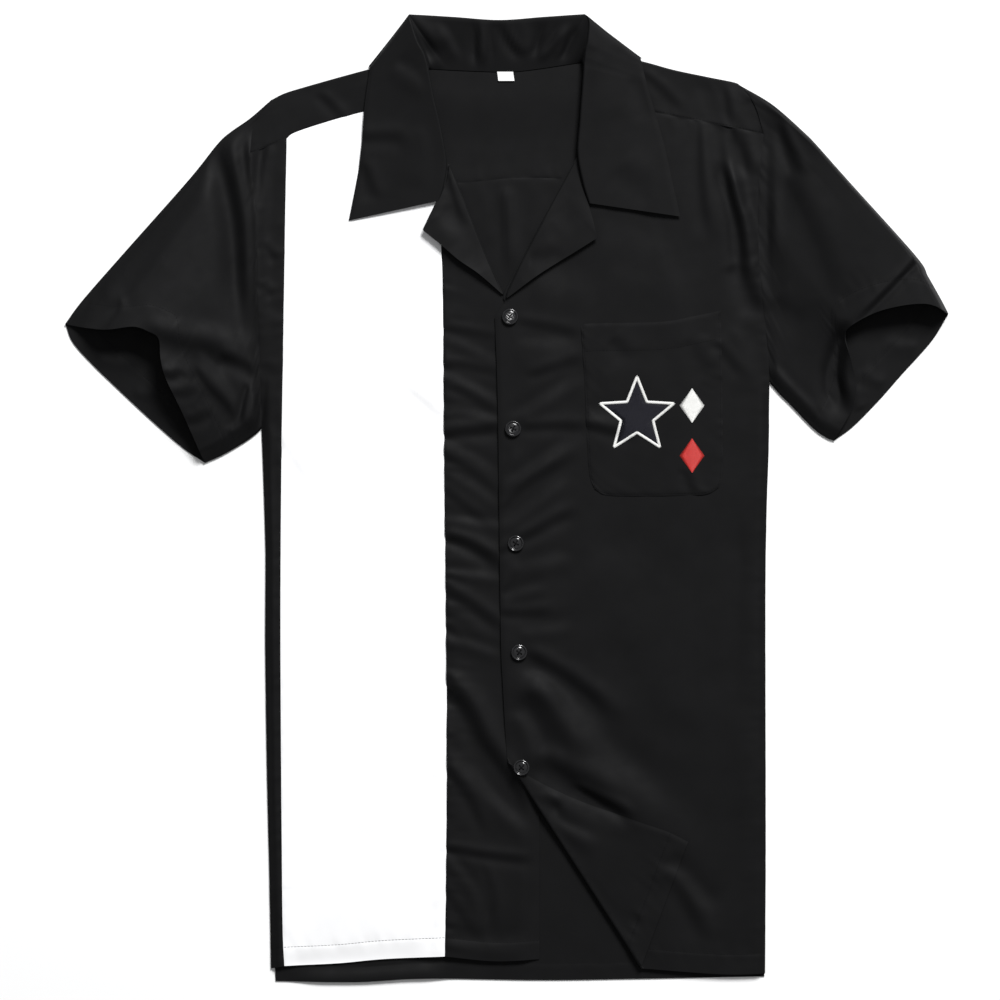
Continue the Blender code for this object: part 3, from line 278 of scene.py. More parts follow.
# Sleeves, in rows from shoulder to cuff. outer and under are the silhouettes, front and back the cuffs.
# The upper layer floats by loft, and rises from the outer fold over the share turn of its width, sooner
# where turn_power is low. Towards the cuff it gapes by lift, at the share lift_at of the width and about
# lift_spread to both sides of it. It does so only near the cuff where lift_grows is high.
SLEEVES = {
    "sleeve_right": {
        "outer": [(-188, 318.6), (-204.6, 304.2), (-220.6, 293), (-231, 283.4), (-254.2, 254.6),
                  (-305.4, 197), (-339, 158.6), (-353.2, 139.4)],
        "under": [(-196, 56), (-201, 51), (-211.8, 43.4), (-227.8, 34.2), (-241.4, 28.2)],
        "front": [(-353.2, 139.4), (-337.4, 136.2), (-318, 134.2), (-297, 136.4), (-285, 132.6),
                  (-277, 127), (-275.4, 111), (-271, 94.6), (-259.6, 70.6), (-241.4, 28.2)],
        "back": [(-353.2, 139.4), (-343.8, 120.2), (-305.4, 81.8), (-263, 43.4), (-241.4, 28.2)],
        "armhole": [RIGHT_ARMHOLE_TOP, RIGHT_ARMHOLE], "back_armhole": RIGHT_BACK_ARMHOLE,
        "front_folds": SIDE_FOLDS, "loft": 4.6, "turn": 0.2, "turn_power": 1,
        "lift": 18.5, "lift_at": 0.42, "lift_spread": 0.42, "lift_grows": 1,
    },
    "sleeve_left": {
        "outer": [(187, 329.8), (206.6, 318.6), (219.4, 309), (237, 293), (246.6, 283.4),
                  (272.2, 254.6), (327, 193.6), (337, 177), (347.4, 158.6), (353.2, 147.4)],
        "under": [(210, 93), (218, 83.5), (227, 74.5), (245.4, 55.5), (255.8, 48.2), (261.6, 46)],
        "front": [(353.2, 147.4), (332.6, 154.8), (300, 150), (275, 137.8), (270.2, 128), (275.5, 106.2),
                  (279, 88.3), (274.5, 69), (261.6, 46)],
        "back": [(353.2, 147.4), (340, 126), (315.5, 98.6), (297.9, 78.6), (277.2, 57.6), (261.6, 46)],
        "armhole": [LEFT_ARMHOLE_TOP, LEFT_ARMHOLE], "back_armhole": LEFT_BACK_ARMHOLE,
        "front_folds": LEFT_FOLDS, "loft": 3, "turn": 0.06, "turn_power": 0.5,
        "lift": 15.5, "lift_at": -0.02, "lift_spread": 0.62, "lift_grows": 0.6,
    },
}
UNDER_TURN = 0.06       # the share of the width over which it comes down to the underarm's fold
ARMHOLE_SHARE = 0.14    # share of the length over which the height of the front becomes the sleeve's own
GAPE_STARTS = 0.3       # no gape at the armhole: it comes up over this share of the length
SLEEVE_FOLDS = [
    ([(-232, 304), (-227, 280), (-219, 252), (-213, 218), (-210, 164), (-202, 112)], 8.5, -1.4, -1),
    ([(-314, 190), (-311, 170), (-304, 144)], 4.5, 1, 0.3),
    ([(-334, 172), (-320, 160), (-308, 148)], 7, -1.4, -0.4),
    ([(-296, 136), (-262, 123), (-232, 116), (-206, 102)], 9, -0.8, -0.34),
    ([(-232, 114), (-212, 107), (-192, 94)], 5, -0.6, -0.36),
    ([(-250, 136), (-224, 128), (-202, 118)], 9, 0.5, 0.08),
    ([(-252, 108), (-238, 88), (-223, 72), (-215, 54)], 4.6, -0.8, -0.36),
    ([(-224, 52), (-212, 62), (-204, 84)], 4, 0.8, 0.18),
    ([(-250, 122), (-228, 92), (-213, 62)], 5, 0.8, 0.2),
    ([(-206, 92), (-210, 76), (-213, 56)], 2.5, -0.8, -0.55),
    ([(-200, 86), (-203, 70), (-206, 52)], 2.5, 0.8, 0.3),
    ([(-276, 100), (-266, 98), (-258, 104)], 4, 0, -0.45),
    ([(-268, 84), (-256, 84), (-246, 90)], 4, 0, -0.24),
    ([(-258, 62), (-246, 64), (-238, 72)], 4, 0, -0.3),
    ([(208, 300), (208, 244), (211, 176)], 5, -1.4, -0.6),
    ([(216, 302), (226, 276), (236, 254)], 5, -1, -0.45),
    ([(216, 268), (243, 213), (268, 144)], 11, -1.2, -0.16),
    ([(336, 200), (306, 168), (272, 134)], 2.8, -1.2, -0.85),
    ([(206, 102), (220, 82), (240, 64), (262, 44)], 3, -0.8, -0.6),
    ([(212, 108), (228, 88), (252, 66)], 4, 0.6, 0.2),
    ([(274, 142), (266, 112), (265, 92), (273, 62)], 6, -5, -1.1),
    ([(212, 160), (226, 150), (246, 140)], 9, -0.5, -0.1),
]
UNDER_SLEEVE_FOLDS = [
    ([(-330, 112), (-310, 108), (-290, 112)], 7, 1, 0),
    ([(-300, 84), (-284, 84), (-270, 92)], 6, 0.8, 0),
    ([(-270, 58), (-262, 66), (-256, 80)], 6, 0.8, 0),
    ([(330, 122), (312, 122), (300, 128)], 7, 1, 0),
    ([(304, 92), (292, 96), (284, 106)], 6, 0.9, 0),
    ([(284, 70), (280, 80), (282, 92)], 6, 0.8, 0),
]

# The collar, in sections from the wearer's right point round the back neck to the left point.
# The stand runs from neck to roll and the fall from roll to edge. over is 1 where the fall lies on
# the stand as a leaf, -1 where it hangs behind, and 0 at the two corners between.
COLLAR = [
    # (neck x, y), neck up, (roll x, y), roll z, (edge x, y), edge z, over
    ((-58.6, 239), 1.9, (-54.2, 237.6), 6.4, (-126.2, 221.8), 5.4, 1),
    ((-55.4, 250), 1.9, (-50.8, 248.6), 6.6, (-121.6, 245), 5.4, 1),
    ((-52.6, 266), 1.9, (-48.2, 267.6), 7, (-118.2, 264.2), 5.4, 1),
    ((-61.6, 291), 0, (-52.2, 293.6), 7.8, (-115.6, 286.8), 5.4, 1),
    ((-65.6, 318), 0, (-58.4, 320.6), 9, (-114, 309), 5.6, 1),
    ((-61.4, 343.4), 0.8, (-64.4, 350.6), 10.6, (-111.4, 329), 6.4, 1),
    ((-56, 342.7), 0, (-71.2, 364.6), 11.4, (-109.6, 341), 6.4, 1),
    ((-50, 342.4), 0, (-76.2, 379.6), 10.6, (-109.4, 343.4), 6, 1),
    ((-46, 342.2), 0, (-78.2, 385.3), 8.6, (-108.8, 345), 3, 0),
    ((-40, 341.9), 0, (-73, 385.8), 7.8, (-106, 344.4), FLOOR, -1),
    ((-24, 341.2), 0, (-42, 384), 7.6, (-62, 334.6), FLOOR, -1),
    ((-3, 340.9), 0, (-6, 381.6), 7.6, (-3, 329), FLOOR, -1),
    ((18, 341.4), 0, (29, 384), 7.8, (50, 335.6), FLOOR, -1),
    ((36, 343.8), 0, (57.4, 385.9), 8, (102.6, 350.4), FLOOR, -1),
    ((42, 344.9), 0, (63, 385.6), 8.6, (106.2, 351.2), 3, 0),
    ((46.4, 345.6), 0, (65.6, 380.6), 10.6, (107.2, 349.6), 6, 1),
    ((52.4, 346.7), 0, (64.4, 365), 11.4, (108.4, 345.6), 6.4, 1),
    ((57.8, 348.4), 0.8, (62.4, 355), 10.6, (110.4, 336.6), 6.4, 1),
    ((65, 325), 0, (60.4, 327), 9, (113.6, 324.8), 6.4, 1),
    ((63.6, 299), 0, (58.4, 300), 7.8, (119.2, 305.8), 6.4, 1),
    ((60.2, 276), 1.9, (56.8, 275.6), 7, (126.4, 279.6), 6.4, 1),
    ((65.6, 252.6), 1.9, (61, 252), 6.6, (132.6, 251.6), 6.6, 1),
    ((70.4, 236.4), 1.9, (66, 235.6), 6.4, (138.6, 225), 6.8, 1),
]
ROLL_RADIUS = 1.0
NECK_CORNER_Y = 340.0
NECK_GAP = 0.4
LEAF_LAY = 1.3          # a leaf lies at least this far above the front
STAND_STEPS, COLLAR_STEPS = 14, 10
STAND_FOLDS = [
    ([(-82, 382), (-68, 367), (-52, 352)], 7, -1.2, -0.6),
    ([(-56, 382), (-46, 366), (-38, 348)], 3.5, 0.8, 0.34),
    ([(-24, 386), (-24, 366), (-24, 342)], 2.6, -1.2, -0.95),
    ([(-17, 387), (-16, 366), (-15, 344)], 2.6, 0.8, 0.7),
    ([(-8, 386), (2, 365), (15, 350)], 3, -0.8, -0.7),
    ([(16, 384), (18, 368), (22, 354)], 4, 0.6, 0.34),
    ([(22, 352), (28, 367), (33, 382)], 2.8, -0.8, -0.7),
    ([(24, 350), (35, 364), (46, 380)], 3, 0.8, 0.65),
    ([(42, 350), (48, 365), (54, 380)], 3, -0.8, -0.7),
]
LEAF_FOLDS = [
    ([(-92, 347), (-76, 337), (-60, 326)], 6, 0.3, 0.14),
    ([(-120, 288), (-98, 289), (-76, 288)], 5, 0, -0.22),
    ([(-116, 270), (-110, 252), (-104, 236)], 5, -0.4, -0.18),
    ([(-70, 300), (-66, 270), (-70, 244)], 10, 0.5, 0.05),
    ([(74, 360), (84, 330), (92, 296)], 14, 0.5, 0.05),
    ([(104, 340), (112, 318), (118, 300)], 6, 0, -0.12),
    ([(88, 268), (104, 256), (120, 252)], 10, 0, -0.08),
]

# Lapels: the turned-out facing of each front. roll runs up the roll line, free up the other edge,
# and gorge from the top of the roll line to the notch. edge_lift is how far the free edge stands off.
LAPELS = {
    "facing_right": {
        "roll": [(-2.2, 162.8), (-20, 203), (-34, 239), (-45.6, 266.5)],
        "free": [(-4.2, 163.4), (-13.1, 171.3), (-24.1, 180.4), (-38.8, 190.5), (-52.6, 202.4),
                 (-67.3, 214.2)],
        "gorge": [(-45.6, 266.5), (-48.6, 251), (-55.3, 238.9)],
        "edge_lift": 3.2,
    },
    "facing_left": {
        "roll": [(-0.8, 160.0), (1.2, 167.5), (12, 190), (26, 217), (54, 268.5)],
        "free": [(1.2, 160.4), (21.9, 175.9), (38.4, 186.8), (55, 196.9), (72.5, 207.9)],
        "gorge": [(54, 268.5), (59.6, 250), (66.0, 233.0)],
        "edge_lift": 2.2,
    },
}
LAPEL_START, LAPEL_LIFT = 0.4, 2.0    # from the front to the turn's lower end and to the lapel
LAPEL_FOLDS = [
    ([(-50, 250), (-44, 226), (-46, 200)], 6, 0.4, 0.1),
    ([(-47, 262), (-43, 240), (-34, 214)], 5, -0.5, -0.32),
    ([(-56, 232), (-46, 216), (-36, 206)], 7, 0, 0.12),
    ([(34, 226), (44, 216), (56, 212)], 8, 0.3, 0.05),
    ([(16, 196), (30, 196), (44, 202)], 6, 0, -0.12),
]

# Patch pocket with rounded lower corners
POCKET_LEFT = [(70.4, 7.4), (66.4, 18), (64.6, 40), (62.4, 90), (59.4, 137.8)]
POCKET_RIGHT = [(169.4, 8.6), (172.4, 20), (172.6, 60), (172, 110), (171, 150)]
POCKET_BOTTOM = [(70.4, 7.4), (81, 2.4), (113, 1.8), (146, 2.4), (160, 3.4), (169.4, 8.6)]
POCKET_TOP = [(59.4, 137.8), (67.4, 139.7), (122.6, 141), (150, 145.6), (171, 150)]
POCKET_HEM, POCKET_STITCH, POCKET_GAP = 22.0, 1.8, 0.15
POCKET_FOLDS = [
    ([(58, 60), (82, 54), (106, 47)], 4, 0, -0.24),
    ([(58, 68), (88, 66), (120, 74)], 7, 0, 0.14),
    ([(141, 26), (148, 10), (154, -4)], 4, 0, -0.2),
    ([(70, 96), (100, 104), (140, 98)], 14, 0.4, 0.03),
    ([(82, 128), (92, 122), (100, 110)], 6, 0, -0.12),
    ([(148, 130), (156, 112), (166, 100)], 7, 0, -0.12),
]

BUTTONS = [
    # x, y, raised, tilt to +X, tilt to +Y (degrees)
    (2.6, 145, 0, 0.5, 0.5),
    (5, 55.4, 0, 3, 4),
    (7.4, -35.8, 0, -5, -6),
    (9.8, -123, 0, 4, -4),
    (12.2, -214.6, 2.5, -6, -4),    # it lies on the edge of the folded corner
]
BUTTON_PROFILE = [(3.5, 1.55), (3.9, 1.5), (4.2, 1.25), (4.6, 1.1), (4.95, 1.35), (5.3, 1.85),
                  (5.7, 2.1), (6.1, 1.95), (6.4, 1.5), (6.5, 1.0), (6.3, 0.5), (5.6, 0.2)]
BUTTON_SIDES = 56
HOLE_RADIUS, HOLE_AT, HOLE_TURN = 0.68, 2.1, 10.0
BUTTON_SHANK = 0.5      # gap between the cloth and the button's underside
# Thread of a button: two crossed pairs of strands from hole to hole, which end below its face
TIE_RADIUS, TIE_ASIDE, TIE_HEIGHT, TIE_BOW, TIE_CROSSING, TIE_DIP = 0.27, 0.2, 1.5, 0.3, 0.15, 0.5

LABEL_CENTRE, LABEL_SIZE, LABEL_SLANT = (-0.8, 337.3), (12.8, 7.4), 1.0
LABEL_THICKNESS, LABEL_LIFT, LABEL_CURL = 0.35, 0.9, 0.6

# Sewing
STITCH, STITCH_GAP = 2.4, 0.3    # length of a stitch, and the gap to the next one
THREADS = {
    # which cloth: finish of its sewing thread, radius
    "black": ("black_thread", 0.13),
    # The white cloth's thread is dark grey, which paints the shade in its stitched groove
    "white": ("painted_shade_grey_thread", 0.18),
}
STITCH_SINKS, STITCH_RISES = 0.16, 0.04    # how far its ends sink in and its middle stands out
YOKE_STITCH = 1.4       # from the front yoke seam to its stitches
STRAND_END = 0.45       # thickness of a strand's ends, as a share of the whole
SATIN_PITCH, SATIN_RADIUS, SHORTEST_SATIN = 0.42, 0.24, 0.5
STAR_CENTRE, STAR_OUTER, STAR_INNER, STAR_BAND = (104, 66), 31, 13.5, 2.4
DIAMONDS = [
    # colour, centre, half width, half height
    ("red_thread", (148, 34), 10, 14),
    ("white_thread", (148, 74), 10, 14),
]

# Depth of the finest relief, and the stage, in metres
WEAVE_DEPTH, PLY_DEPTH = 0.00012, 0.00008
FLOOR_HALF = 5.0
CAMERA_HEIGHT = 4.0
VIEW_WIDTH = 0.8
VIEW_CENTRE = (-0.0054, -0.0014)
SENSOR = 36.0           # in millimetres, like the focal length
LIGHTS = [
    # name, (x, y, z), size, power
    ("light_key", (1.6, 4.2, 3.9), 2.0, 530.0),
    ("light_overhead", (0.01, 0.26, 3.2), 0.24, 3.0),
]


# ---------------------------------------------------------------- curves and grids

def smooth(t):
    """0 below 0, 1 above 1, and an easy curve between."""
    t = np.clip(t, 0.0, 1.0)
    return t * t * (3 - 2 * t)


def unit(vectors):
    """Vectors of length 1 with the same directions."""
    return vectors / np.maximum(np.linalg.norm(vectors, axis=-1, keepdims=True), 1e-9)


def curve_through(points, steps):
    """A smooth curve through the points, with that many steps between each two."""
    p = np.array(points, float)
    p = np.vstack([2 * p[0] - p[1], p, 2 * p[-1] - p[-2]])
    t = np.linspace(0, 1, steps, endpoint=False)[:, None]
    parts = []
    for a, b, c, d in zip(p, p[1:], p[2:], p[3:]):
        parts.append(0.5 * (2 * b + (c - a) * t + (2 * a - 5 * b + 4 * c - d) * t**2
                            + (3 * b - a - 3 * c + d) * t**3))
    return np.vstack([*parts, p[-2][None]])


def line(*stretches):
    """One finely divided line from several stretches, whose corners stay sharp."""
    parts = [curve_through(points, 24) for points in stretches]
    return np.vstack([parts[0], *[part[1:] for part in parts[1:]]])


def lengths_along(points):
    """Distance travelled along a line at each of its points."""
    steps = np.linalg.norm(np.diff(points, axis=0), axis=1)
    return np.concatenate([[0], np.cumsum(steps)])


def at_lengths(points, wanted):
    """Points of a line at these distances along it."""
    travelled = lengths_along(points)
    return np.stack([np.interp(wanted, travelled, points[:, k]) for k in range(points.shape[1])], axis=1)


def at_shares(points, shares):
    """Points of a line at these shares of its length."""
    return at_lengths(points, np.asarray(shares) * lengths_along(points)[-1])


def spaced(length, cell, close=()):
    """Shares from 0 to 1 about cell apart, and FINE_CELL apart near both ends and the close places.

    A close place is (distance, reach), and a negative distance counts from the far end.
    """
    s = np.linspace(0, length, 3000)
    density = np.full(s.shape, 1 / cell)
    for place, reach in [(0, 2.2), (length, 2.2), *close]:
        near = np.exp(-((s - place % (length + 1e-6)) / reach) ** 2) / FINE_CELL
        density = np.maximum(density, near)
    total = np.concatenate([[0], np.cumsum((density[1:] + density[:-1]) / 2 * np.diff(s))])
    cells = max(2, round(total[-1]))
    return np.interp(np.linspace(0, total[-1], cells + 1), total, s) / length


def patch(left, right, bottom, top, us, vs):
    """A grid of plan points between four lines, read at these shares across and upwards."""
    u, v = us[None, :, None], vs[:, None, None]
    left, right = at_shares(left, vs), at_shares(right, vs)
    bottom, top = at_shares(bottom, us), at_shares(top, us)
    across = (1 - u) * left[:, None] + u * right[:, None]
    upwards = (1 - v) * bottom[None] + v * top[None]
    corners = (1 - v) * ((1 - u) * left[0] + u * right[0]) + v * ((1 - u) * left[-1] + u * right[-1])
    return across + upwards - corners


def mean_length(*lines):
    return float(np.mean([lengths_along(points)[-1] for points in lines]))


def panel(left, right, bottom, top, cell=CELL, across=(), upwards=()):
    """A patch with evenly small cells, and finer ones at its edges and at the close places."""
    us = spaced(mean_length(bottom, top), cell, across)
    vs = spaced(mean_length(left, right), cell, upwards)
    return patch(left, right, bottom, top, us, vs)


def from_borders(grid):
    """Distances of each grid point from the left, right, bottom and top border, along the cloth."""
    plan = grid[..., :2]
    across = np.linalg.norm(np.diff(plan, axis=1), axis=-1)
    upwards = np.linalg.norm(np.diff(plan, axis=0), axis=-1)
    s = np.pad(np.cumsum(across, axis=1), ((0, 0), (1, 0)))
    t = np.pad(np.cumsum(upwards, axis=0), ((1, 0), (0, 0)))
    return {"left": s, "right": s[:, -1:] - s, "bottom": t, "top": t[-1:] - t}


# ---------------------------------------------------------------- relief of the cloth

def wander(x, y, size, seed):
    """Smooth uneven values from -1 to 1, whose bumps are about size across."""
    lattice = np.random.default_rng(SEED + seed).uniform(-1, 1, (LATTICE, LATTICE))
    x, y = np.asarray(x) / size, np.asarray(y) / size
    column, row = np.floor(x).astype(int), np.floor(y).astype(int)
    fx, fy = smooth(x - column), smooth(y - row)
    corner = lambda i, j: lattice[(row + j) % LATTICE, (column + i) % LATTICE]
    low = corner(0, 0) * (1 - fx) + corner(1, 0) * fx
    high = corner(0, 1) * (1 - fx) + corner(1, 1) * fx
    return low * (1 - fy) + high * fy


def folds(table, x, y):
    """The sum of the folds of a table, each fading out towards both its ends.

    The two sides of a fold differ in width, by an amount that follows from its row in the table.
    """
    x, y = np.asarray(x, float), np.asarray(y, float)
    total = np.zeros(x.shape)
    for number, (points, half_width, height, lean) in enumerate(table):
        route = curve_through(points, 6)
        reach = 4 * half_width
        near = ((x > route[:, 0].min() - reach) & (x < route[:, 0].max() + reach)
                & (y > route[:, 1].min() - reach) & (y < route[:, 1].max() + reach))
        if not near.any():
            continue
        px, py = x[near], y[near]
        best = np.full(px.shape, np.inf)
        share = np.zeros(px.shape)
        side = np.ones(px.shape)
        count = len(route) - 1
        for k in range(count):
            (x0, y0), (x1, y1) = route[k], route[k + 1]
            dx, dy = x1 - x0, y1 - y0
            t = np.clip(((px - x0) * dx + (py - y0) * dy) / (dx * dx + dy * dy), 0, 1)
            away = np.hypot(px - x0 - t * dx, py - y0 - t * dy)
            closer = away < best
            best[closer] = away[closer]
            share[closer] = (k + t[closer]) / count
            side[closer] = np.sign((dx * (py - y0) - dy * (px - x0))[closer])
        run = route[-1] - route[0]
        towards_light = np.sign(run[0] * LIGHT_FROM[1] - run[1] * LIGHT_FROM[0])
        uneven = FOLD_UNEVEN * math.sin(2.4 * number)
        width = half_width * (1 + uneven * side) * (0.75 + 0.5 * share)
        ridge = height * np.exp(-((best / width) ** 2) ** 0.85)
        off = towards_light * side * best / (half_width * (0.85 + 0.3 * share))
        leaning = -lean * half_width * off * np.exp(-off * off / 2)
        fading = smooth(share / FOLD_FADES_IN) * smooth((1 - share) / FOLD_FADES_OUT)
        total[near] += fading * (ridge + leaning)
    return total


def crumple(x, y):
    """The slight unevenness that all the cloth has."""
    broad = 0.26 * wander(x, y, 46, 1) + 0.13 * wander(0.8 * x + 0.6 * y, 0.8 * y - 0.6 * x, 21, 2)
    return broad + 0.035 * wander(x, y, 8, 3)


def resting(height, sharpness=SETTLING):
    """A height over the layer below, which levels out softly at 0 instead of sinking through it."""
    return np.logaddexp(0, sharpness * height) / sharpness


def along_line(points, given, at):
    """The other coordinate of a line, where its x (given 0) or its y (given 1) has these values."""
    p = np.array(sorted(points, key=lambda point: point[given]), float)
    return np.interp(at, p[:, given], p[:, 1 - given])


def back_height(x, y):
    """The back lies flat, and rises by one layer where the fall of the collar is under it."""
    fall_edge = FALL_DIP_Y + FALL_RISE * ((x - FALL_DIP_X) / FALL_HALF_WIDTH) ** 2
    lifted = LAY * smooth((y - fall_edge + FALL_LEAD) / FALL_EASE)
    return FLOOR + lifted + np.maximum(0, folds(BACK_FOLDS, x, y))


def front_height(x, y, table=(), share=1.0):
    """The front lies on the back at its edges and floats above it between them."""
    x, y = np.asarray(x, float), np.asarray(y, float)
    right = x - along_line(RIGHT_SIDE + RIGHT_ARMHOLE[1:] + RIGHT_ARMHOLE_TOP[1:], 1, y)
    left = along_line(LEFT_SIDE + LEFT_ARMHOLE[1:] + LEFT_ARMHOLE_TOP[1:], 1, y) - x
    side = np.minimum(right, left)
    shoulder = along_line(RIGHT_SHOULDER + LEFT_SHOULDER, 0, x) - y + EASE_LEAD
    creases = folds(FRONT_FOLDS, x, y) + folds(table, x, y) + crumple(x, y)
    floating = PILLOW * smooth(shoulder / SHOULDER_EASE) + creases
    floating = resting(floating + SLACK) - SLACK
    above_armpit = smooth((y - ARMPIT) / ARMPIT_EASE)
    eased = np.maximum(smooth((side + EASE_LEAD) / SIDE_EASE), above_armpit) * smooth(shoulder / FOLD_EASE)
    lay = CLOSE_LAY + (LAY - CLOSE_LAY) * np.maximum(smooth(side / LAY_EASE), above_armpit)
    return back_height(x, y) + lay + floating * eased * share


contrast_height = partial(front_height, table=CONTRAST_FOLDS)
side_height = partial(front_height, table=SIDE_FOLDS)
yoke_height = partial(front_height, table=YOKE_FOLDS)


def centre_height(x, y):
    """The right front beside the white panel, which settles on the back at its edge."""
    share = smooth((RIGHT_EDGE[0][0] + 1 - np.asarray(x)) / EDGE_SETTLES)
    return front_height(x, y, CENTRE_FOLDS, share) - (LAY - CLOSE_LAY) * (1 - share)


def left_height(x, y):
    """The left front, which lies clear of the right front where it laps over it."""
    lap = 1 - smooth((np.asarray(x) - LAP_FULL) / (LAP_END - LAP_FULL))
    height = front_height(x, y, LEFT_FOLDS) + LAP_RISE * lap
    if not np.any(lap > 0):
        return height
    return height + lap * resting(centre_height(x, y) + LAP_GAP - height)


def sewn_edge(edge, border, seed, strength=1.0, depth=SEAM_DEPTH):
    """Relief beside a seam: the border dips into it, its allowance lies under it, and it puckers."""
    distance = edge[border]
    travelled = edge["bottom" if border in ("left", "right") else "left"]
    dip = -depth * np.exp(-((distance / 1.1) ** 2))
    layer = 0.4 * depth * (1 - smooth((distance - SEAM_ALLOWANCE + 3) / 5))
    pucker = wander(travelled, distance * 0.28, 4.6, seed) * np.exp(-distance / 9)
    return dip + layer + 0.32 * strength * pucker * smooth(distance / 1.5)


def sewn_edges(edge, seams):
    """Relief of several seams, each with its border, seed, strength and depth."""
    return sum(sewn_edge(edge, *seam) for seam in seams)


def seam_rise(distance):
    """Rise of the cloth that lies on the allowance of a seam at this distance."""
    return SEAM_RISE * np.exp(-((distance / SEAM_ALLOWANCE) ** 2))


def hemmed_edge(edge, border, width, seed, strength=1.0):
    """Relief beside a hem: a doubled band, a stitched groove at its width, and puckers at both."""
    distance, travelled = edge[border], edge["left"]
    band = 0.2 * (1 - smooth((distance - width) / 1.6))
    groove = -0.2 * np.exp(-(((distance - width) / 0.9) ** 2))
    nearness = np.exp(-np.abs(distance - width) / 6)
    pucker = wander(travelled + 0.35 * distance, distance * 0.25, 4.2, seed) * nearness
    return band + groove + 0.24 * strength * pucker


# ---------------------------------------------------------------- meshes

def grid_faces(grid, keep=None):
    """The faces of a grid of points, or those of them that are kept."""
    rows, columns = grid.shape[:2]
    index = np.arange(rows * columns).reshape(rows, columns)
    quads = np.stack([index[:-1, :-1], index[:-1, 1:], index[1:, 1:], index[1:, :-1]], axis=-1)
    return (quads if keep is None else quads[keep]).reshape(-1, 4).tolist()


def place_object(name, data):
    obj = bpy.data.objects.new(name, data)
    bpy.context.scene.collection.objects.link(obj)
    return obj


def add_mesh(name, points, faces, finish):
    mesh = bpy.data.meshes.new(name)
    mesh.from_pydata((np.asarray(points).reshape(-1, 3) * MM).tolist(), [], faces)
    mesh.update()
    mesh.shade_smooth()
    mesh.materials.append(finish)
    return place_object(name, mesh)


@contextmanager
def opened(obj):
    """The mesh of an object, open for changes."""
    work = bmesh.new()
    work.from_mesh(obj.data)
    yield work
    work.to_mesh(obj.data)
    work.free()


def dress(obj, node):
    """The piece rides on the part's one body and stands for its solid, which is hidden."""
    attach(obj, "root")
    if node:
        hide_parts(node)


def make_shell(obj, node, thickness=CLOTH):
    """A wall of this thickness, whose cut edges stay sharp, in the place of its solid."""
    with opened(obj) as work:
        for edge in work.edges:
            edge.smooth = not edge.is_boundary
    wall = obj.modifiers.new("wall", "SOLIDIFY")
    wall.thickness = thickness * MM
    wall.offset = 0.0
    dress(obj, node)


def raised(grid, height, relief=0.0):
    """Plan points raised to height(x, y), with the relief of their piece."""
    return np.dstack([grid, height(grid[..., 0], grid[..., 1]) + relief])


def cloth_piece(name, grid, finish):
    """A flat cloth piece from a raised grid."""
    obj = add_mesh(name + "_cloth", grid, grid_faces(grid), finish)
    make_shell(obj, name)


def surface_normals(grid):
    """Unit normals of a raised grid, on its upper side."""
    normal = unit(np.cross(np.gradient(grid, axis=1), np.gradient(grid, axis=0)))
    return normal * np.where(normal[..., 2:] < 0, -1, 1)


# ---------------------------------------------------------------- sewing

SEWING = {"black": [], "white": []}


def sew(colour, points, normals=(0, 0, 1)):
    """Keeps a run of stitches along a line of points on the middle of a shell."""
    SEWING[colour].append(points + np.asarray(normals) * CLOTH / 2)


def sew_row(colour, grid, edge, border, distance, trim=0.0):
    """Stitches parallel to one border of a grid, at this distance from it."""
    away, spots = edge[border], np.dstack([grid, surface_normals(grid)])
    if border in ("top", "bottom"):
        away, spots = away.T, spots.transpose(1, 0, 2)
    rows = []
    for off, row in zip(away, spots):
        order = np.argsort(off)
        rows.append([np.interp(distance, off[order], values) for values in row[order].T])
    found = np.array(rows)
    travelled = lengths_along(found[:, :3])
    if trim:
        found = found[(travelled > trim) & (travelled < travelled[-1] - trim)]
    sew(colour, found[:, :3], found[:, 3:])


def stitch_paths(points):
    """Short strands end to end along a line, each sinking into the cloth at both ends."""
    total = lengths_along(points)[-1]
    starts = np.arange(0.3, total - STITCH, STITCH + STITCH_GAP)
    steps = np.array([0, 0.22, 0.78, 1]) * STITCH
    spots = at_lengths(points, (starts[:, None] + steps).reshape(-1)).reshape(len(starts), 4, 3)
    spots[..., 2] += np.array([-STITCH_SINKS, STITCH_RISES, STITCH_RISES, -STITCH_SINKS])
    return spots


def strands(name, paths, radius, finish, sides=5):
    """Thin round strands along many short paths, joined into one mesh."""
    paths = np.asarray(paths)
    count, rings = paths.shape[:2]
    ahead = unit(np.gradient(paths, axis=1))
    side = unit(np.cross(ahead, [0, 0, 1.0]))
    up = np.cross(side, ahead)
    angle = np.linspace(0, 2 * math.pi, sides, endpoint=False)
    taper = np.ones(rings)
    taper[[0, -1]] = STRAND_END
    ring = np.cos(angle)[:, None] * side[:, :, None, :] + np.sin(angle)[:, None] * up[:, :, None, :]
    points = paths[:, :, None, :] + radius * taper[None, :, None, None] * ring
    first = np.arange(count)[:, None, None] * rings * sides
    row = np.arange(rings - 1)[None, :, None] * sides
    k = np.arange(sides)[None, None, :]
    after = (k + 1) % sides
    faces = np.stack([first + row + k, first + row + after, first + row + sides + after,
                      first + row + sides + k], axis=-1).reshape(-1, 4).tolist()
    for start in range(0, count * rings * sides, rings * sides):
        faces.append(list(range(start + sides - 1, start - 1, -1)))
        faces.append(list(range(start + (rings - 1) * sides, start + rings * sides)))
    return add_mesh(name, points, faces, finish)


# ---------------------------------------------------------------- materials

def shader_of(name):
    """A new material, its nodes, links and shader."""
    made = bpy.data.materials.new(name)
    made.use_nodes = True
    nodes, links = made.node_tree.nodes, made.node_tree.links
    return made, nodes, links, nodes["Principled BSDF"]


def object_place(nodes):
    """The place of a shaded point on its object, in metres."""
    return nodes.new("ShaderNodeTexCoord").outputs["Object"]


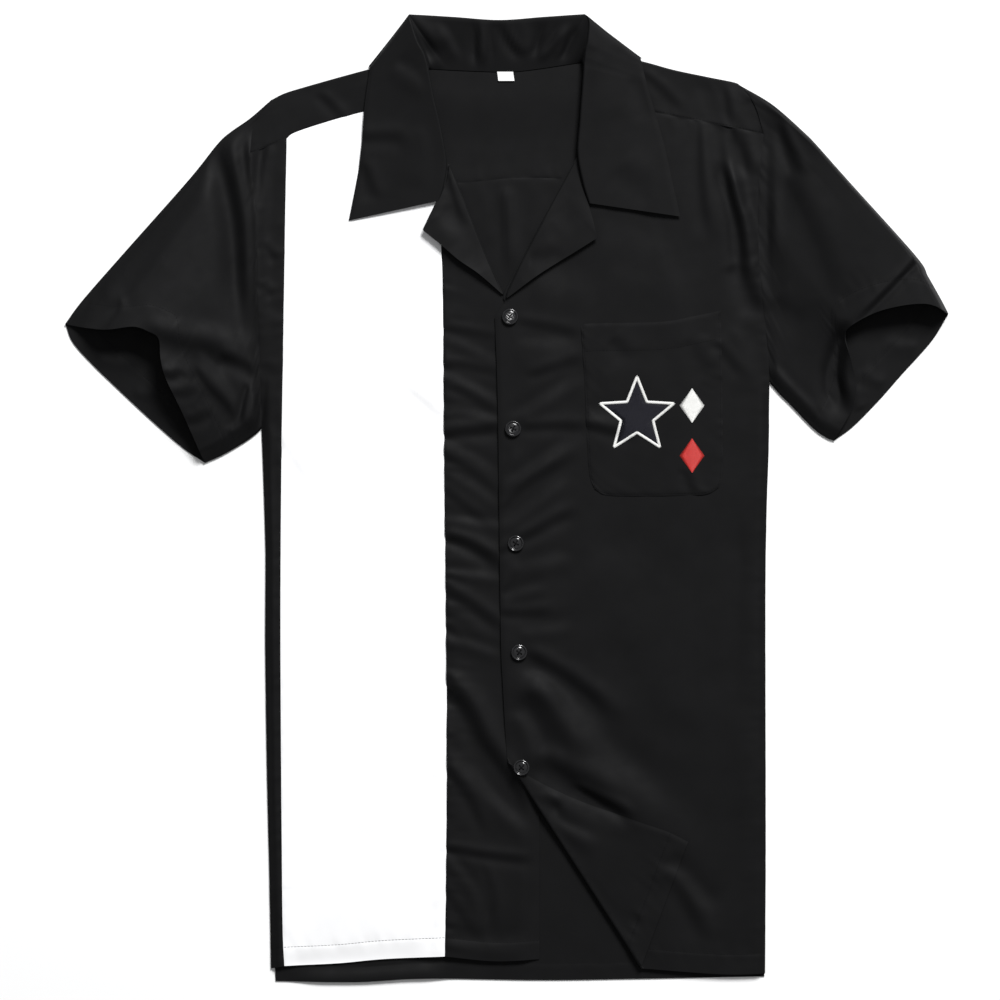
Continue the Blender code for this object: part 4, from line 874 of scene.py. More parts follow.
def noise_node(nodes, links, place, scale, detail):
    noise = nodes.new("ShaderNodeTexNoise")
    noise.inputs["Scale"].default_value = scale
    noise.inputs["Detail"].default_value = detail
    links.new(place, noise.inputs["Vector"])
    return noise.outputs["Fac"]


def vary(nodes, links, value, low, high, socket):
    """Makes a colour or grey follow a value between two ends."""
    mapped = nodes.new("ShaderNodeValToRGB")
    for element, position, colour in zip(mapped.color_ramp.elements, (0.3, 0.7), (low, high)):
        element.position = position
        element.color = (*colour, 1)
    links.new(value, mapped.inputs["Fac"])
    links.new(mapped.outputs["Color"], socket)


def added(nodes, links, first, second):
    both = nodes.new("ShaderNodeMath")
    both.operation = "ADD"
    links.new(first, both.inputs[0])
    links.new(second, both.inputs[1])
    return both.outputs[0]


def roughen(nodes, links, shader, height, strength, depth):
    """Fine relief of a surface, up to depth metres."""
    bump = nodes.new("ShaderNodeBump")
    bump.inputs["Strength"].default_value = strength
    bump.inputs["Distance"].default_value = depth
    links.new(height, bump.inputs["Height"])
    links.new(bump.outputs["Normal"], shader.inputs["Normal"])


def woven(name, dark, light, rough, sheen, specular, weave=0.12):
    """Poplin: a fine plain weave with slubs, faintly uneven colour and gloss."""
    made, nodes, links, shader = shader_of(name)
    place = object_place(nodes)
    vary(nodes, links, noise_node(nodes, links, place, 38, 4), dark, light, shader.inputs["Base Color"])
    low, high = rough
    gloss = noise_node(nodes, links, place, 90, 3)
    vary(nodes, links, gloss, (low,) * 3, (high,) * 3, shader.inputs["Roughness"])
    threads = []
    for direction, stretch in (("X", (900, 60, 900)), ("Y", (60, 900, 900))):
        wave = nodes.new("ShaderNodeTexWave")
        wave.bands_direction = direction
        wave.inputs["Scale"].default_value = 620
        wave.inputs["Distortion"].default_value = 1.5
        wave.inputs["Detail"].default_value = 1
        links.new(place, wave.inputs["Vector"])
        spread = nodes.new("ShaderNodeMapping")
        spread.inputs["Scale"].default_value = stretch
        links.new(place, spread.inputs["Vector"])
        slub = noise_node(nodes, links, spread.outputs["Vector"], 1.0, 2)
        threads.append(added(nodes, links, wave.outputs["Fac"], slub))
    roughen(nodes, links, shader, added(nodes, links, *threads), weave, WEAVE_DEPTH)
    shader.inputs["Specular IOR Level"].default_value = specular
    shader.inputs["Sheen Weight"].default_value = sheen
    shader.inputs["Sheen Roughness"].default_value = 0.45
    return made


def polished(name, dark, light):
    """Cast resin with a slight cloud in it."""
    made, nodes, links, shader = shader_of(name)
    place = object_place(nodes)
    vary(nodes, links, noise_node(nodes, links, place, 420, 3), dark, light, shader.inputs["Base Color"])
    scuff = noise_node(nodes, links, place, 1500, 2)
    vary(nodes, links, scuff, (0.14,) * 3, (0.26,) * 3, shader.inputs["Roughness"])
    shader.inputs["Coat Weight"].default_value = 0.4
    shader.inputs["Coat Roughness"].default_value = 0.08
    return made


def twisted(name, dark, light, rough=0.5, sheen=0.15, specular=0.5):
    """Sewing thread, with the twist of its plies."""
    made, nodes, links, shader = shader_of(name)
    place = object_place(nodes)
    ply = noise_node(nodes, links, place, 2600, 2)
    vary(nodes, links, ply, dark, light, shader.inputs["Base Color"])
    roughen(nodes, links, shader, ply, 0.3, PLY_DEPTH)
    shader.inputs["Roughness"].default_value = rough
    shader.inputs["Sheen Weight"].default_value = sheen
    shader.inputs["Specular IOR Level"].default_value = specular
    return made


def make_finishes():
    return {
        "black": woven("black_poplin", (0.0028, 0.0028, 0.0031), (0.0038, 0.0038, 0.0042),
                       (0.60, 0.68), 0.01, 0.12),
        "white": woven("white_poplin", (0.90, 0.90, 0.91), (0.93, 0.93, 0.94),
                       (0.7, 0.8), 0.05, 0.25, 0.08),
        "label": woven("label_satin", (0.74, 0.74, 0.74), (0.80, 0.80, 0.79), (0.4, 0.5), 0.1, 0.4),
        "button": polished("button_resin", (0.008, 0.008, 0.009), (0.016, 0.016, 0.017)),
        "black_thread": twisted("black_thread", (0.0026, 0.0026, 0.0030), (0.0046, 0.0046, 0.0052),
                                0.8, 0.01, 0.1),
        # Thread of the white hem: its dark grey is painted shade of the stitched groove
        "painted_shade_grey_thread": twisted("painted_shade_grey_thread", (0.035, 0.035, 0.04), (0.06, 0.06, 0.065), 0.8, 0.05, 0.15),
        "white_thread": twisted("white_thread", (0.74, 0.74, 0.72), (0.84, 0.84, 0.82)),
        "red_thread": twisted("red_thread", (0.46, 0.012, 0.010), (0.62, 0.030, 0.022)),
        "navy_thread": twisted("navy_thread", (0.007, 0.007, 0.011), (0.014, 0.014, 0.021), 0.6, 0.04, 0.2),
    }


# ---------------------------------------------------------------- body

def front_panel(name, finish, grid, height, seams, hem_seed, hem_strength=1.0, colour="black"):
    """One of the three parts of the right front, from its plan to its stitched hem."""
    edge = from_borders(grid)
    relief = sewn_edges(edge, seams) + hemmed_edge(edge, "bottom", HEM, hem_seed, hem_strength)
    grid = raised(grid, height, relief)
    cloth_piece(name, grid, finish)
    sew_row(colour, grid, edge, "bottom", HEM)


def make_side_front(finish):
    grid = panel(line(RIGHT_SIDE, RIGHT_ARMHOLE), line(SIDE_SEAM_OF_CONTRAST), line(SIDE_HEM),
                 line(RIGHT_YOKE_SEAM_SIDE), upwards=[(HEM, 2.0)])
    seams = [("left", 11, 0.8, ARMHOLE_DEPTH), ("right", 12), ("top", 13, 1.0, YOKE_DEPTH)]
    front_panel("side_front", finish, grid, side_height, seams, 14)


def make_contrast_panel(finish):
    grid = panel(line(SIDE_SEAM_OF_CONTRAST), line(CENTRE_SEAM_OF_CONTRAST, RIGHT_FRONT_NECKLINE),
                 line(CONTRAST_HEM), line(RIGHT_YOKE_SEAM), upwards=[(HEM, 2.0)])
    seams = [("left", 21, 0.7), ("right", 22, 1.2), ("top", 23, 0.6, YOKE_DEPTH)]
    front_panel("contrast_panel", finish, grid, contrast_height, seams, 24, 1.2, "white")


def make_right_front(finish):
    free = line(RIGHT_EDGE, [RIGHT_EDGE[-1], RIGHT_ROLL[0]], RIGHT_ROLL)
    top = line([CENTRE_SEAM_OF_CONTRAST[-1], RIGHT_ROLL[-1]])
    grid = panel(line(CENTRE_SEAM_OF_CONTRAST), free, line(RIGHT_FRONT_HEM), top, DETAIL_CELL,
                 upwards=[(HEM, 2.0)])
    front_panel("right_front", finish, grid, centre_height, [("left", 31, 1.9)], 32)


CREASE_DOWN = unit(CREASE_END - CREASE_START)
CREASE_OUT = np.array([CREASE_DOWN[1], -CREASE_DOWN[0]])


def fold_corner(points):
    """Where points of the flat left front come to lie: their plan positions and heights."""
    plan, relief = points[:, :2], points[:, 2]
    start = CREASE_START - CREASE_OUT * (CREASE_RADIUS + CLOTH / 2)
    turned = math.pi * CREASE_RADIUS
    past = (plan - start) @ CREASE_OUT
    on_line = plan - past[:, None] * CREASE_OUT
    angle = np.clip(past / CREASE_RADIUS, 0, math.pi)
    beyond = np.maximum(past - turned, 0)
    reach = np.where(past < 0, past, CREASE_RADIUS * np.sin(angle) - beyond)
    spot = on_line + reach[:, None] * CREASE_OUT
    settled = LAY + (2 * CREASE_RADIUS - LAY) * np.exp(-beyond / CREASE_SETTLES)
    above = np.where(past > turned, settled, CREASE_RADIUS * (1 - np.cos(angle)))
    flap = folds(FLAP_FOLDS, spot[:, 0], spot[:, 1]) * smooth(beyond / 10)
    turning = (past > 0) & (past <= turned)
    ground = np.where(turning[:, None], on_line, spot)
    down = (spot - start) @ CREASE_DOWN
    length = np.linalg.norm(CREASE_END - CREASE_START)
    ends = smooth(down / CREASE_ENDS) * (0.4 + 0.6 * smooth((length - down) / CREASE_ENDS))
    arch = CREASE_LIFT * np.exp(-(np.minimum(reach, 0) / CREASE_REACH) ** 2) * ends
    z = left_height(ground[:, 0], ground[:, 1]) + above + flap + relief + arch
    return np.column_stack([spot, z])


def make_left_front(finish):
    """The left front is cut flat, and then its lower corner is folded out over itself."""
    left = line(LEFT_EDGE, [LEFT_EDGE[-1], LEFT_ROLL[0]], LEFT_ROLL,
                [LEFT_ROLL[-1], *LEFT_FRONT_NECKLINE[1:]])
    flat = panel(left, line(LEFT_SIDE, LEFT_ARMHOLE), line(LEFT_FRONT_HEM), line(LEFT_YOKE_SEAM),
                 upwards=[(LEFT_HEM, 2.0)])
    edge = from_borders(flat)
    border = -0.4 * np.exp(-((edge["left"] / 1.6) ** 2))
    # The hem is stronger where the cloth will show its other side
    folded_out = (flat - CREASE_START) @ CREASE_OUT
    relief = (sewn_edge(edge, "right", 41, 1.0, ARMHOLE_DEPTH) + border
              + sewn_edge(edge, "top", 42, 1.0, YOKE_DEPTH)
              + hemmed_edge(edge, "bottom", LEFT_HEM, 43) * (1 + 1.8 * (folded_out > 0)))
    grid = np.dstack([flat, relief])
    obj = add_mesh("left_front_cloth", grid, grid_faces(grid), finish)
    with opened(obj) as work:
        for k in range(CREASE_STEPS + 1):
            away = math.pi * CREASE_RADIUS * k / CREASE_STEPS - CREASE_RADIUS - CLOTH / 2
            place = CREASE_START + CREASE_OUT * away
            bmesh.ops.bisect_plane(work, geom=work.verts[:] + work.edges[:] + work.faces[:], dist=1e-4,
                                   plane_co=(*place * MM, 0), plane_no=(*CREASE_OUT, 0))
        flat_points = np.array([vertex.co[:] for vertex in work.verts]) / MM
        for vertex, place in zip(work.verts, fold_corner(flat_points) * MM):
            vertex.co = place
    make_shell(obj, "left_front")

    hem = np.array([[np.interp(LEFT_HEM, edge["bottom"][:, k], values) for values in grid[:, k].T]
                    for k in range(grid.shape[1])])
    folded = fold_corner(hem)
    # No stitches in the turn of the fold
    past = (hem[:, :2] - CREASE_START) @ CREASE_OUT
    sew("black", folded[past > 6])
    sew("black", folded[past < -4])


def make_back(finish):
    right = line([BACK_HEM[0], *RIGHT_SIDE[1:]], RIGHT_BACK_ARMHOLE)
    left = line([BACK_HEM[-1], *LEFT_SIDE[1:]], LEFT_BACK_ARMHOLE)
    grid = panel(right, left, line(BACK_HEM), line(BACK_YOKE_SEAM), HIDDEN_CELL,
                 upwards=[(BACK_HEM_WIDTH, 2.0)])
    edge = from_borders(grid)
    relief = (sewn_edge(edge, "top", 51, 1.0, YOKE_DEPTH) + seam_rise(edge["top"])
              + hemmed_edge(edge, "bottom", BACK_HEM_WIDTH, 52))
    cloth_piece("back", raised(grid, back_height, np.maximum(0, relief)), finish)


def turn(start, start_height, end_height, inwards, first=1):
    """The rows of a half turn between two layers of one cloth, whose outer face ends at start."""
    middle = (start_height + end_height) / 2
    rise = (end_height - start_height) / 2
    rows = []
    for k in range(first, ARC_STEPS):
        angle = math.pi * (k / ARC_STEPS - 0.5)
        reach = (CLOTH / 2 + FOLD_EDGE * (1 - math.cos(angle))) * inwards
        rows.append(np.column_stack([start + reach, middle + rise * math.sin(angle)]))
    return np.array(rows)


def yoke_front(fold, height, us, vs, armhole, seam, on_right):
    """The part of the yoke before one shoulder, from its fold down to the front yoke seam."""
    armhole_end, neck_end = (0, -1) if on_right else (-1, 0)
    armhole[0] = fold[armhole_end]
    neckline = line([fold[neck_end], seam[neck_end]])
    sides = (armhole, neckline) if on_right else (neckline, armhole)
    plan = patch(*sides, fold, seam, us, vs)
    edge = from_borders(plan)
    seam_relief = sewn_edge(edge, "top", 62 + on_right, 1.1, YOKE_DEPTH)
    side_relief = sewn_edge(edge, "left" if on_right else "right", 64, 0.5, 0.05)
    grid = raised(plan, yoke_height, seam_relief + side_relief * smooth(edge["bottom"] / 6))
    sew_row("black", grid, edge, "top", YOKE_STITCH)
    grid[0, :, 2] = height
    return grid


def make_yoke(finish):
    """One piece from the back yoke seam over both shoulders to the front yoke seams."""
    tops = [line(RIGHT_SHOULDER), line(BACK_NECK_SEAM), line(LEFT_SHOULDER)]
    right_us, neck_us, left_us = [spaced(mean_length(points), CELL) for points in tops]
    top = np.vstack([at_shares(*pair) for pair in zip(tops, (right_us, neck_us, left_us))])
    first_neck, first_left = len(right_us), len(right_us) + len(neck_us)
    # Folded over at the shoulders, and a plain seam at the neck
    inset = np.full((len(top), 1), INSET)
    inset[first_neck:first_left] = 0
    inwards = np.tile([0.0, -1.0], (len(top), 1))
    for place, armhole in ((0, RIGHT_ARMHOLE_TOP), (-1, LEFT_ARMHOLE_TOP)):
        inwards[place] = unit(np.subtract(armhole[-2], armhole[-1]))
    edge_line = top + inset * inwards

    travelled = lengths_along(edge_line)
    vs = spaced(YOKE_BACK, CELL)
    right_side = line([BACK_YOKE_SEAM[0], *RIGHT_ARMHOLE_TOP])
    left_side = line([BACK_YOKE_SEAM[-1], *LEFT_ARMHOLE_TOP])
    right_side[-1], left_side[-1] = edge_line[0], edge_line[-1]
    back = patch(right_side, left_side, line(BACK_YOKE_SEAM), edge_line, travelled / travelled[-1], vs)
    edge = from_borders(back)
    relief = sewn_edge(edge, "bottom", 61, 0.9, YOKE_DEPTH) + seam_rise(edge["bottom"])
    back = raised(back, back_height, np.maximum(0, relief))
    low = back[-1, :, 2]
    high = low + 2 * FOLD_EDGE

    rows = spaced(YOKE_FRONT, LAPEL_CELL)
    parts = [
        yoke_front(edge_line[:first_neck], high[:first_neck], right_us, rows,
                   line(RIGHT_ARMHOLE_TOP[::-1]), line(RIGHT_YOKE_SEAM_SIDE, RIGHT_YOKE_SEAM), True),
        yoke_front(edge_line[first_left:], high[first_left:], left_us, rows,
                   line(LEFT_ARMHOLE_TOP[::-1]), line(LEFT_YOKE_SEAM), False),
    ]
    spare = np.zeros((len(rows), len(neck_us), 3))
    over = np.concatenate([parts[0], spare, parts[1]], axis=1)
    grid = np.array([*back, *turn(top, low, high, inwards), *over])
    # Past the neck seam there is no cloth between the two shoulders
    keep = np.ones((grid.shape[0] - 1, grid.shape[1] - 1), bool)
    keep[len(vs) - 1:, first_neck - 1:first_left] = False
    obj = add_mesh("yoke_cloth", grid, grid_faces(grid, keep), finish)
    with opened(obj) as work:
        bmesh.ops.delete(work, geom=[v for v in work.verts if not v.link_faces], context="VERTS")
    make_shell(obj, "yoke")


# ---------------------------------------------------------------- sleeves

def make_sleeve(name, finish):
    """A tube: its upper layer from shoulder to underarm, then its lower layer back to the shoulder."""
    plan = SLEEVES[name]
    outer, under, front, back = [line(plan[key]) for key in ("outer", "under", "front", "back")]
    top, armhole = plan["armhole"]
    front_seam = line(top[::-1], armhole[::-1])
    back_seam = line([*top[::-1][:-1], *plan["back_armhole"][::-1]])
    vs = spaced(mean_length(outer, under), SLEEVE_CELL, [(-CUFF_HEM, 2.0)])
    upper_us = spaced(mean_length(front_seam, front), SLEEVE_CELL)
    lower_us = spaced(mean_length(back_seam, back), UNDER_SLEEVE_CELL)
    outer_row, under_row = at_shares(outer, vs), at_shares(under, vs)
    across = unit(under_row - outer_row)
    at_outer = across.copy()
    at_outer[0] = unit(front_seam[1] - front_seam[0])
    upper = patch(outer, under, front_seam, front, upper_us, vs)
    lower = patch(outer, under, back_seam, back, lower_us, vs)
    for layer in (upper, lower):
        layer[:, 0] = outer_row + at_outer * INSET
        layer[:, -1] = under_row - across * INSET

    edge, low_edge = from_borders(upper), from_borders(lower)
    height = sleeve_height(plan, upper, upper_us[None, :], vs[:, None])
    relief = (sewn_edge(edge, "bottom", 71, 1.3, ARMHOLE_DEPTH)
              + hemmed_edge(edge, "top", CUFF_HEM, 72, 1.6))
    upper = np.dstack([upper, height + relief * smooth(np.minimum(upper_us, 1 - upper_us) / 0.03)])
    low_relief = (hemmed_edge(low_edge, "top", CUFF_HEM, 73, 1.4)
                  + folds(UNDER_SLEEVE_FOLDS, lower[..., 0], lower[..., 1]))
    low_relief = np.maximum(0, low_relief) * smooth(np.minimum(lower_us, 1 - lower_us) / 0.04)
    lower = np.dstack([lower, FLOOR + low_relief])
    # Round the underarm to the lower layer, back to the outer fold, and round it to the first column
    floor = np.full(len(vs), FLOOR)
    round_under = turn(under_row, upper[:, -1, 2], floor, -across).transpose(1, 0, 2)
    round_outer = turn(outer_row, floor, upper[:, 0, 2], at_outer).transpose(1, 0, 2)
    grid = np.concatenate([upper, round_under, lower[:, ::-1], round_outer, upper[:, :1]], axis=1)
    obj = add_mesh(name + "_cloth", grid, grid_faces(grid), finish)
    with opened(obj) as work:
        bmesh.ops.remove_doubles(work, verts=work.verts, dist=1e-6)
        bmesh.ops.recalc_face_normals(work, faces=work.faces)
    make_shell(obj, name)
    sew_row("black", upper, edge, "top", CUFF_HEM, trim=6)
    sew_row("black", lower, low_edge, "top", CUFF_HEM, trim=6)


def sleeve_height(plan, points, across, share):
    """The upper layer: it joins the front at the armhole, floats, and gapes at the cuff."""
    edge = smooth(across / plan["turn"]) ** plan["turn_power"] * smooth((1 - across) / UNDER_TURN)
    gape = plan["lift"] * np.exp(-np.abs((across - plan["lift_at"]) / plan["lift_spread"]) ** 3)
    gape = gape * share ** plan["lift_grows"] * smooth(share / GAPE_STARTS)
    x, y = points[..., 0], points[..., 1]
    at_seam = front_height(x, y, plan["front_folds"]) - FLOOR - 2 * FOLD_EDGE
    body = smooth(share / ARMHOLE_SHARE)
    loft = resting(plan["loft"] + gape + folds(SLEEVE_FOLDS, x, y) + 1.2 * crumple(x, y), 2.0)
    floating = (1 - body) * np.maximum(at_seam, 0) + body * loft
    return FLOOR + 2 * FOLD_EDGE + edge * floating


# ---------------------------------------------------------------- collar and lapels

def make_collar(finish):
    """Sections of the collar: up the stand, round the roll and down the fall."""
    numbers = [np.hstack(section) for section in COLLAR]
    rows = curve_through(numbers, COLLAR_STEPS)
    neck, up, roll, roll_z = rows[:, 0:2], rows[:, 2], rows[:, 3:5], rows[:, 5]
    edge, edge_z, over = rows[:, 6:8], np.maximum(rows[:, 8], FLOOR), np.clip(rows[:, 9], -1, 1)
    at_back = neck[:, 1] > NECK_CORNER_Y
    seam = line(BACK_NECK_SEAM)
    neck[at_back, 1] = np.interp(neck[at_back, 0], seam[:, 0], seam[:, 1]) + NECK_GAP + CLOTH / 2
    neck_z = np.where(at_back, back_height(*neck.T), front_height(*neck.T)) + up
    to_neck, to_edge = unit(neck - roll), unit(edge - roll)
    radius = np.minimum(ROLL_RADIUS, 0.4 * np.linalg.norm(neck - roll, axis=1))
    turn_in, turn_out = roll + to_neck * radius[:, None], roll + to_edge * radius[:, None]
    fall_z = roll_z + over * radius
    columns = []
    for share in np.linspace(0, 1, STAND_STEPS, endpoint=False):
        spot = neck + share * (turn_in - neck)
        z = neck_z + share * (roll_z - over * radius - neck_z)
        z = z + folds(STAND_FOLDS, *spot.T) * math.sin(math.pi * share) ** 0.6
        columns.append(np.column_stack([spot, z]))
    for k in range(ARC_STEPS + 1):
        angle = math.pi * (k / ARC_STEPS - 0.5)
        side = to_neck if angle < 0 else to_edge
        spot = roll + side * (radius * (1 - math.cos(angle)))[:, None]
        columns.append(np.column_stack([spot, roll_z + over * radius * math.sin(angle)]))
    for share in spaced(FALL_LENGTH, FALL_CELL, [(-5.0, 1.6)])[1:]:
        spot = turn_out + share * (edge - turn_out)
        # The fall comes down sooner behind the neck than in a leaf
        z = edge_z + (fall_z - edge_z) * (1 - share) ** (1.9 - 0.7 * over)
        below = np.where(spot[:, 0] > 0, left_height(*spot.T), front_height(*spot.T, YOKE_FOLDS))
        leaf = over > 0
        z[leaf] = np.maximum(z[leaf], below[leaf] + LEAF_LAY)
        from_edge = np.linalg.norm(edge - spot, axis=1)
        bend = folds(LEAF_FOLDS, *spot.T) + 0.5 * crumple(*spot.T) - 0.4 * np.exp(-((from_edge / 1.8) ** 2))
        z = z + bend * np.clip(over, 0, 1) * smooth(share / 0.2)
        columns.append(np.column_stack([spot, z]))
    grid = np.stack(columns, axis=1)
    obj = add_mesh("collar_cloth", grid, grid_faces(grid), finish)
    make_shell(obj, "collar")


def make_lapel(name, finish):
    """A lapel lies on its front and turns down at the roll line to the edge of that front."""
    plan = LAPELS[name]
    height = left_height if name == "facing_left" else centre_height
    roll, free = line(plan["roll"]), line(plan["free"], [plan["free"][-1], plan["gorge"][-1]])
    us = spaced(LAPEL_WIDTH, LAPEL_CELL)
    vs = spaced(mean_length(roll, free), LAPEL_CELL)
    flat = patch(roll, free, line([roll[0], free[0]]), line(plan["gorge"]), us, vs)
    edge = from_borders(flat)
    inwards = unit(flat[:, 1] - flat[:, 0])
    start = flat[:, 0].copy()
    flat[:, 0] = start + INSET * inwards
    keep = np.linalg.norm(flat[:, 1:] - start[:, None], axis=-1) > INSET + 0.2
    # Points that the inset border has overtaken are gathered close behind it
    for row, kept, inward in zip(flat, keep, inwards):
        crossed = np.flatnonzero(~kept) + 1
        row[crossed] = row[0] + 0.05 * crossed[:, None] * inward
    low = height(*flat[:, 0].T)
    # The free edge stands off the front, and less so near the notch
    stand_off = plan["edge_lift"] * edge["left"] / np.maximum(edge["left"] + edge["right"], 12.0)
    stand_off = stand_off * (0.3 + 0.7 * smooth(edge["top"] / 26))
    relief = folds(LAPEL_FOLDS, flat[..., 0], flat[..., 1]) * smooth(edge["left"] / 8) + stand_off
    lying = raised(flat, lambda x, y: height(x, y) + LAPEL_LIFT, relief)
    lying[:, 0, 2] = low + LAPEL_LIFT
    turned = turn(start, low + LAPEL_START, low + LAPEL_LIFT, inwards, first=ARC_STEPS // 2)
    grid = np.concatenate([turned.transpose(1, 0, 2), lying], axis=1)
    obj = add_mesh(name + "_cloth", grid, grid_faces(grid), finish)
    make_shell(obj, name)


# ---------------------------------------------------------------- pocket, buttons, label

def pocket_height(x, y):
    return left_height(x, y) + CLOTH + POCKET_GAP + folds(POCKET_FOLDS, x, y)


def make_pocket(finish):
    grid = panel(line(POCKET_LEFT), line(POCKET_RIGHT), line(POCKET_BOTTOM), line(POCKET_TOP),
                 DETAIL_CELL, across=[(POCKET_STITCH, 1.2), (-POCKET_STITCH, 1.2)],
                 upwards=[(POCKET_STITCH, 1.2), (-POCKET_HEM, 1.8)])
    edge = from_borders(grid)
    sides = np.minimum(np.minimum(edge["left"], edge["right"]), edge["bottom"])
    border = -0.3 * np.exp(-((np.minimum(sides, edge["top"]) / 1.3) ** 2))
    groove = -0.08 * np.exp(-(((sides - POCKET_STITCH) / 0.8) ** 2))
    along = edge["bottom"] + 0.7 * edge["left"]
    pucker = 0.26 * wander(along, sides * 0.3, 4.4, 91) * np.exp(-sides / 8)
    top = 0.3 * hemmed_edge(edge, "top", POCKET_HEM, 92)
    grid = raised(grid, pocket_height, border + groove + pucker + top)
    cloth_piece("pocket", grid, finish)
    for border in ("left", "right", "bottom"):
        sew_row("black", grid, edge, border, POCKET_STITCH)
    sew_row("black", grid, edge, "top", POCKET_HEM, trim=2)


def hole_angle(number):
    """Direction of a thread hole from the middle of its button."""
    return math.radians(HOLE_TURN) + number * math.pi / 2


def button_mesh(finish):
    """A turned disc with a raised rim, with its four holes cut through."""
    angles = np.linspace(0, 2 * math.pi, BUTTON_SIDES, endpoint=False)
    disc = place_object("button_disc", bpy.data.meshes.new("button"))
    with opened(disc) as work:
        rings = []
        for radius, z in BUTTON_PROFILE:
            ring = [(radius * math.cos(a) * MM, radius * math.sin(a) * MM, z * MM) for a in angles]
            rings.append([work.verts.new(point) for point in ring])
        for upper, lower in zip(rings, rings[1:]):
            for k in range(BUTTON_SIDES):
                after = (k + 1) % BUTTON_SIDES
                work.faces.new([upper[k], lower[k], lower[after], upper[after]])
        work.faces.new(rings[0])
        work.faces.new(rings[-1][::-1])
    drills = []
    for k in range(4):
        drill = place_object(f"drill_{k}", bpy.data.meshes.new(f"drill_{k}"))
        with opened(drill) as work:
            bmesh.ops.create_cone(work, cap_ends=True, segments=14, radius1=HOLE_RADIUS * MM,
                                  radius2=HOLE_RADIUS * MM, depth=6 * MM)
            reach, angle = HOLE_AT * MM, hole_angle(k)
            centre = (reach * math.cos(angle), reach * math.sin(angle), 1 * MM)
            bmesh.ops.translate(work, verts=work.verts, vec=centre)
        cut = disc.modifiers.new(f"hole_{k}", "BOOLEAN")
        cut.object = drill
        cut.operation = "DIFFERENCE"
        drills.append(drill)
    shaped = bpy.data.meshes.new_from_object(disc.evaluated_get(bpy.context.evaluated_depsgraph_get()))
    for spare in [disc, *drills]:
        bpy.data.objects.remove(spare)
    shaped.materials.clear()
    shaped.materials.append(finish)
    shaped.shade_smooth()
    shaped.set_sharp_from_angle(angle=math.radians(38))
    return shaped


def make_buttons(finish, thread):
    shared = button_mesh(finish)
    ties = []
    for number, (x, y, up, tilt_x, tilt_y) in enumerate(BUTTONS, 1):
        obj = place_object(f"button_{number}_resin", shared.copy())
        normal = Vector((math.radians(tilt_x), math.radians(tilt_y), 1)).normalized()
        seat = Vector((x, y, float(left_height(x, y)))) + normal * (CLOTH / 2 + BUTTON_SHANK + up)
        obj.location = seat * MM
        obj.rotation_mode = "QUATERNION"
        obj.rotation_quaternion = normal.to_track_quat("Z", "Y")
        dress(obj, f"button_{number}")
        turned = obj.rotation_quaternion.to_matrix()
        for k in range(2):
            cos, sin = math.cos(hole_angle(k)), math.sin(hole_angle(k))
            for aside in (-TIE_ASIDE, TIE_ASIDE):
                path = []
                for t in np.linspace(-1, 1, 7):
                    z = TIE_HEIGHT + TIE_BOW * (1 - t * t) + TIE_CROSSING * k
                    if abs(t) == 1:
                        z -= TIE_DIP
                    spot = Vector((HOLE_AT * t * cos - aside * sin, HOLE_AT * t * sin + aside * cos, z))
                    path.append((seat + turned @ spot)[:])
                ties.append(path)
    dress(strands("button_thread", ties, TIE_RADIUS, thread, sides=7), None)


def make_label(finish):
    width, length = LABEL_SIZE
    x, y = LABEL_CENTRE
    lean = LABEL_SLANT / 2
    low = [(x + lean - width / 2, y - length / 2), (x + lean + width / 2, y - length / 2)]
    high = [(x - lean - width / 2, y + length / 2), (x - lean + width / 2, y + length / 2)]
    grid = panel(line([low[0], high[0]]), line([low[1], high[1]]), line(low), line(high), LABEL_CELL)
    edge = from_borders(grid)
    curl = LABEL_CURL * smooth((4 - edge["bottom"]) / 4)
    curl = curl + 0.12 * wander(grid[..., 0], grid[..., 1], 4, 95)
    grid = raised(grid, back_height, LABEL_LIFT + curl)
    obj = add_mesh("size_label_cloth", grid, grid_faces(grid), finish)
    make_shell(obj, "size_label", LABEL_THICKNESS)


# ---------------------------------------------------------------- embroidery

def on_pocket(a, b, lift, rings=7):
    """Strands across the pocket from each point a to its point b, lying on it in a low bow."""
    t = np.linspace(0, 1, rings)[None, :, None]
    spots = a[:, None] * (1 - t) + b[:, None] * t
    bow = lift * np.sin(math.pi * np.clip(t[..., 0], 0.04, 0.96)) ** 0.5
    return np.dstack([spots, pocket_height(spots[..., 0], spots[..., 1]) + CLOTH / 2 + bow])


def satin_band(outline, width):
    """Close strands square to a closed outline."""
    closed = np.vstack([outline, outline[:1]])
    total = lengths_along(closed)[-1]
    places = np.arange(0, total, SATIN_PITCH)
    spots = at_lengths(closed, places)
    ahead = unit(at_lengths(closed, (places + 0.6) % total) - at_lengths(closed, (places - 0.6) % total))
    side = np.column_stack([-ahead[:, 1], ahead[:, 0]])
    return spots - side * width / 2, spots + side * width / 2


def satin_fill(outline, angle):
    """Close parallel strands that fill a convex or star-shaped outline."""
    turned = np.array([[math.cos(angle), math.sin(angle)], [-math.sin(angle), math.cos(angle)]])
    points = np.vstack([outline, outline[:1]]) @ turned.T
    a, b = points[:-1], points[1:]
    starts, ends = [], []
    for level in np.arange(points[:, 1].min() + 0.2, points[:, 1].max(), SATIN_PITCH):
        crossing = (a[:, 1] - level) * (b[:, 1] - level) < 0
        share = (level - a[crossing, 1]) / (b[crossing, 1] - a[crossing, 1])
        xs = np.sort(a[crossing, 0] + share * (b[crossing, 0] - a[crossing, 0]))
        for left, right in zip(xs[::2], xs[1::2]):
            if right - left > SHORTEST_SATIN:
                starts.append((left, level))
                ends.append((right, level))
    return np.array(starts) @ turned, np.array(ends) @ turned


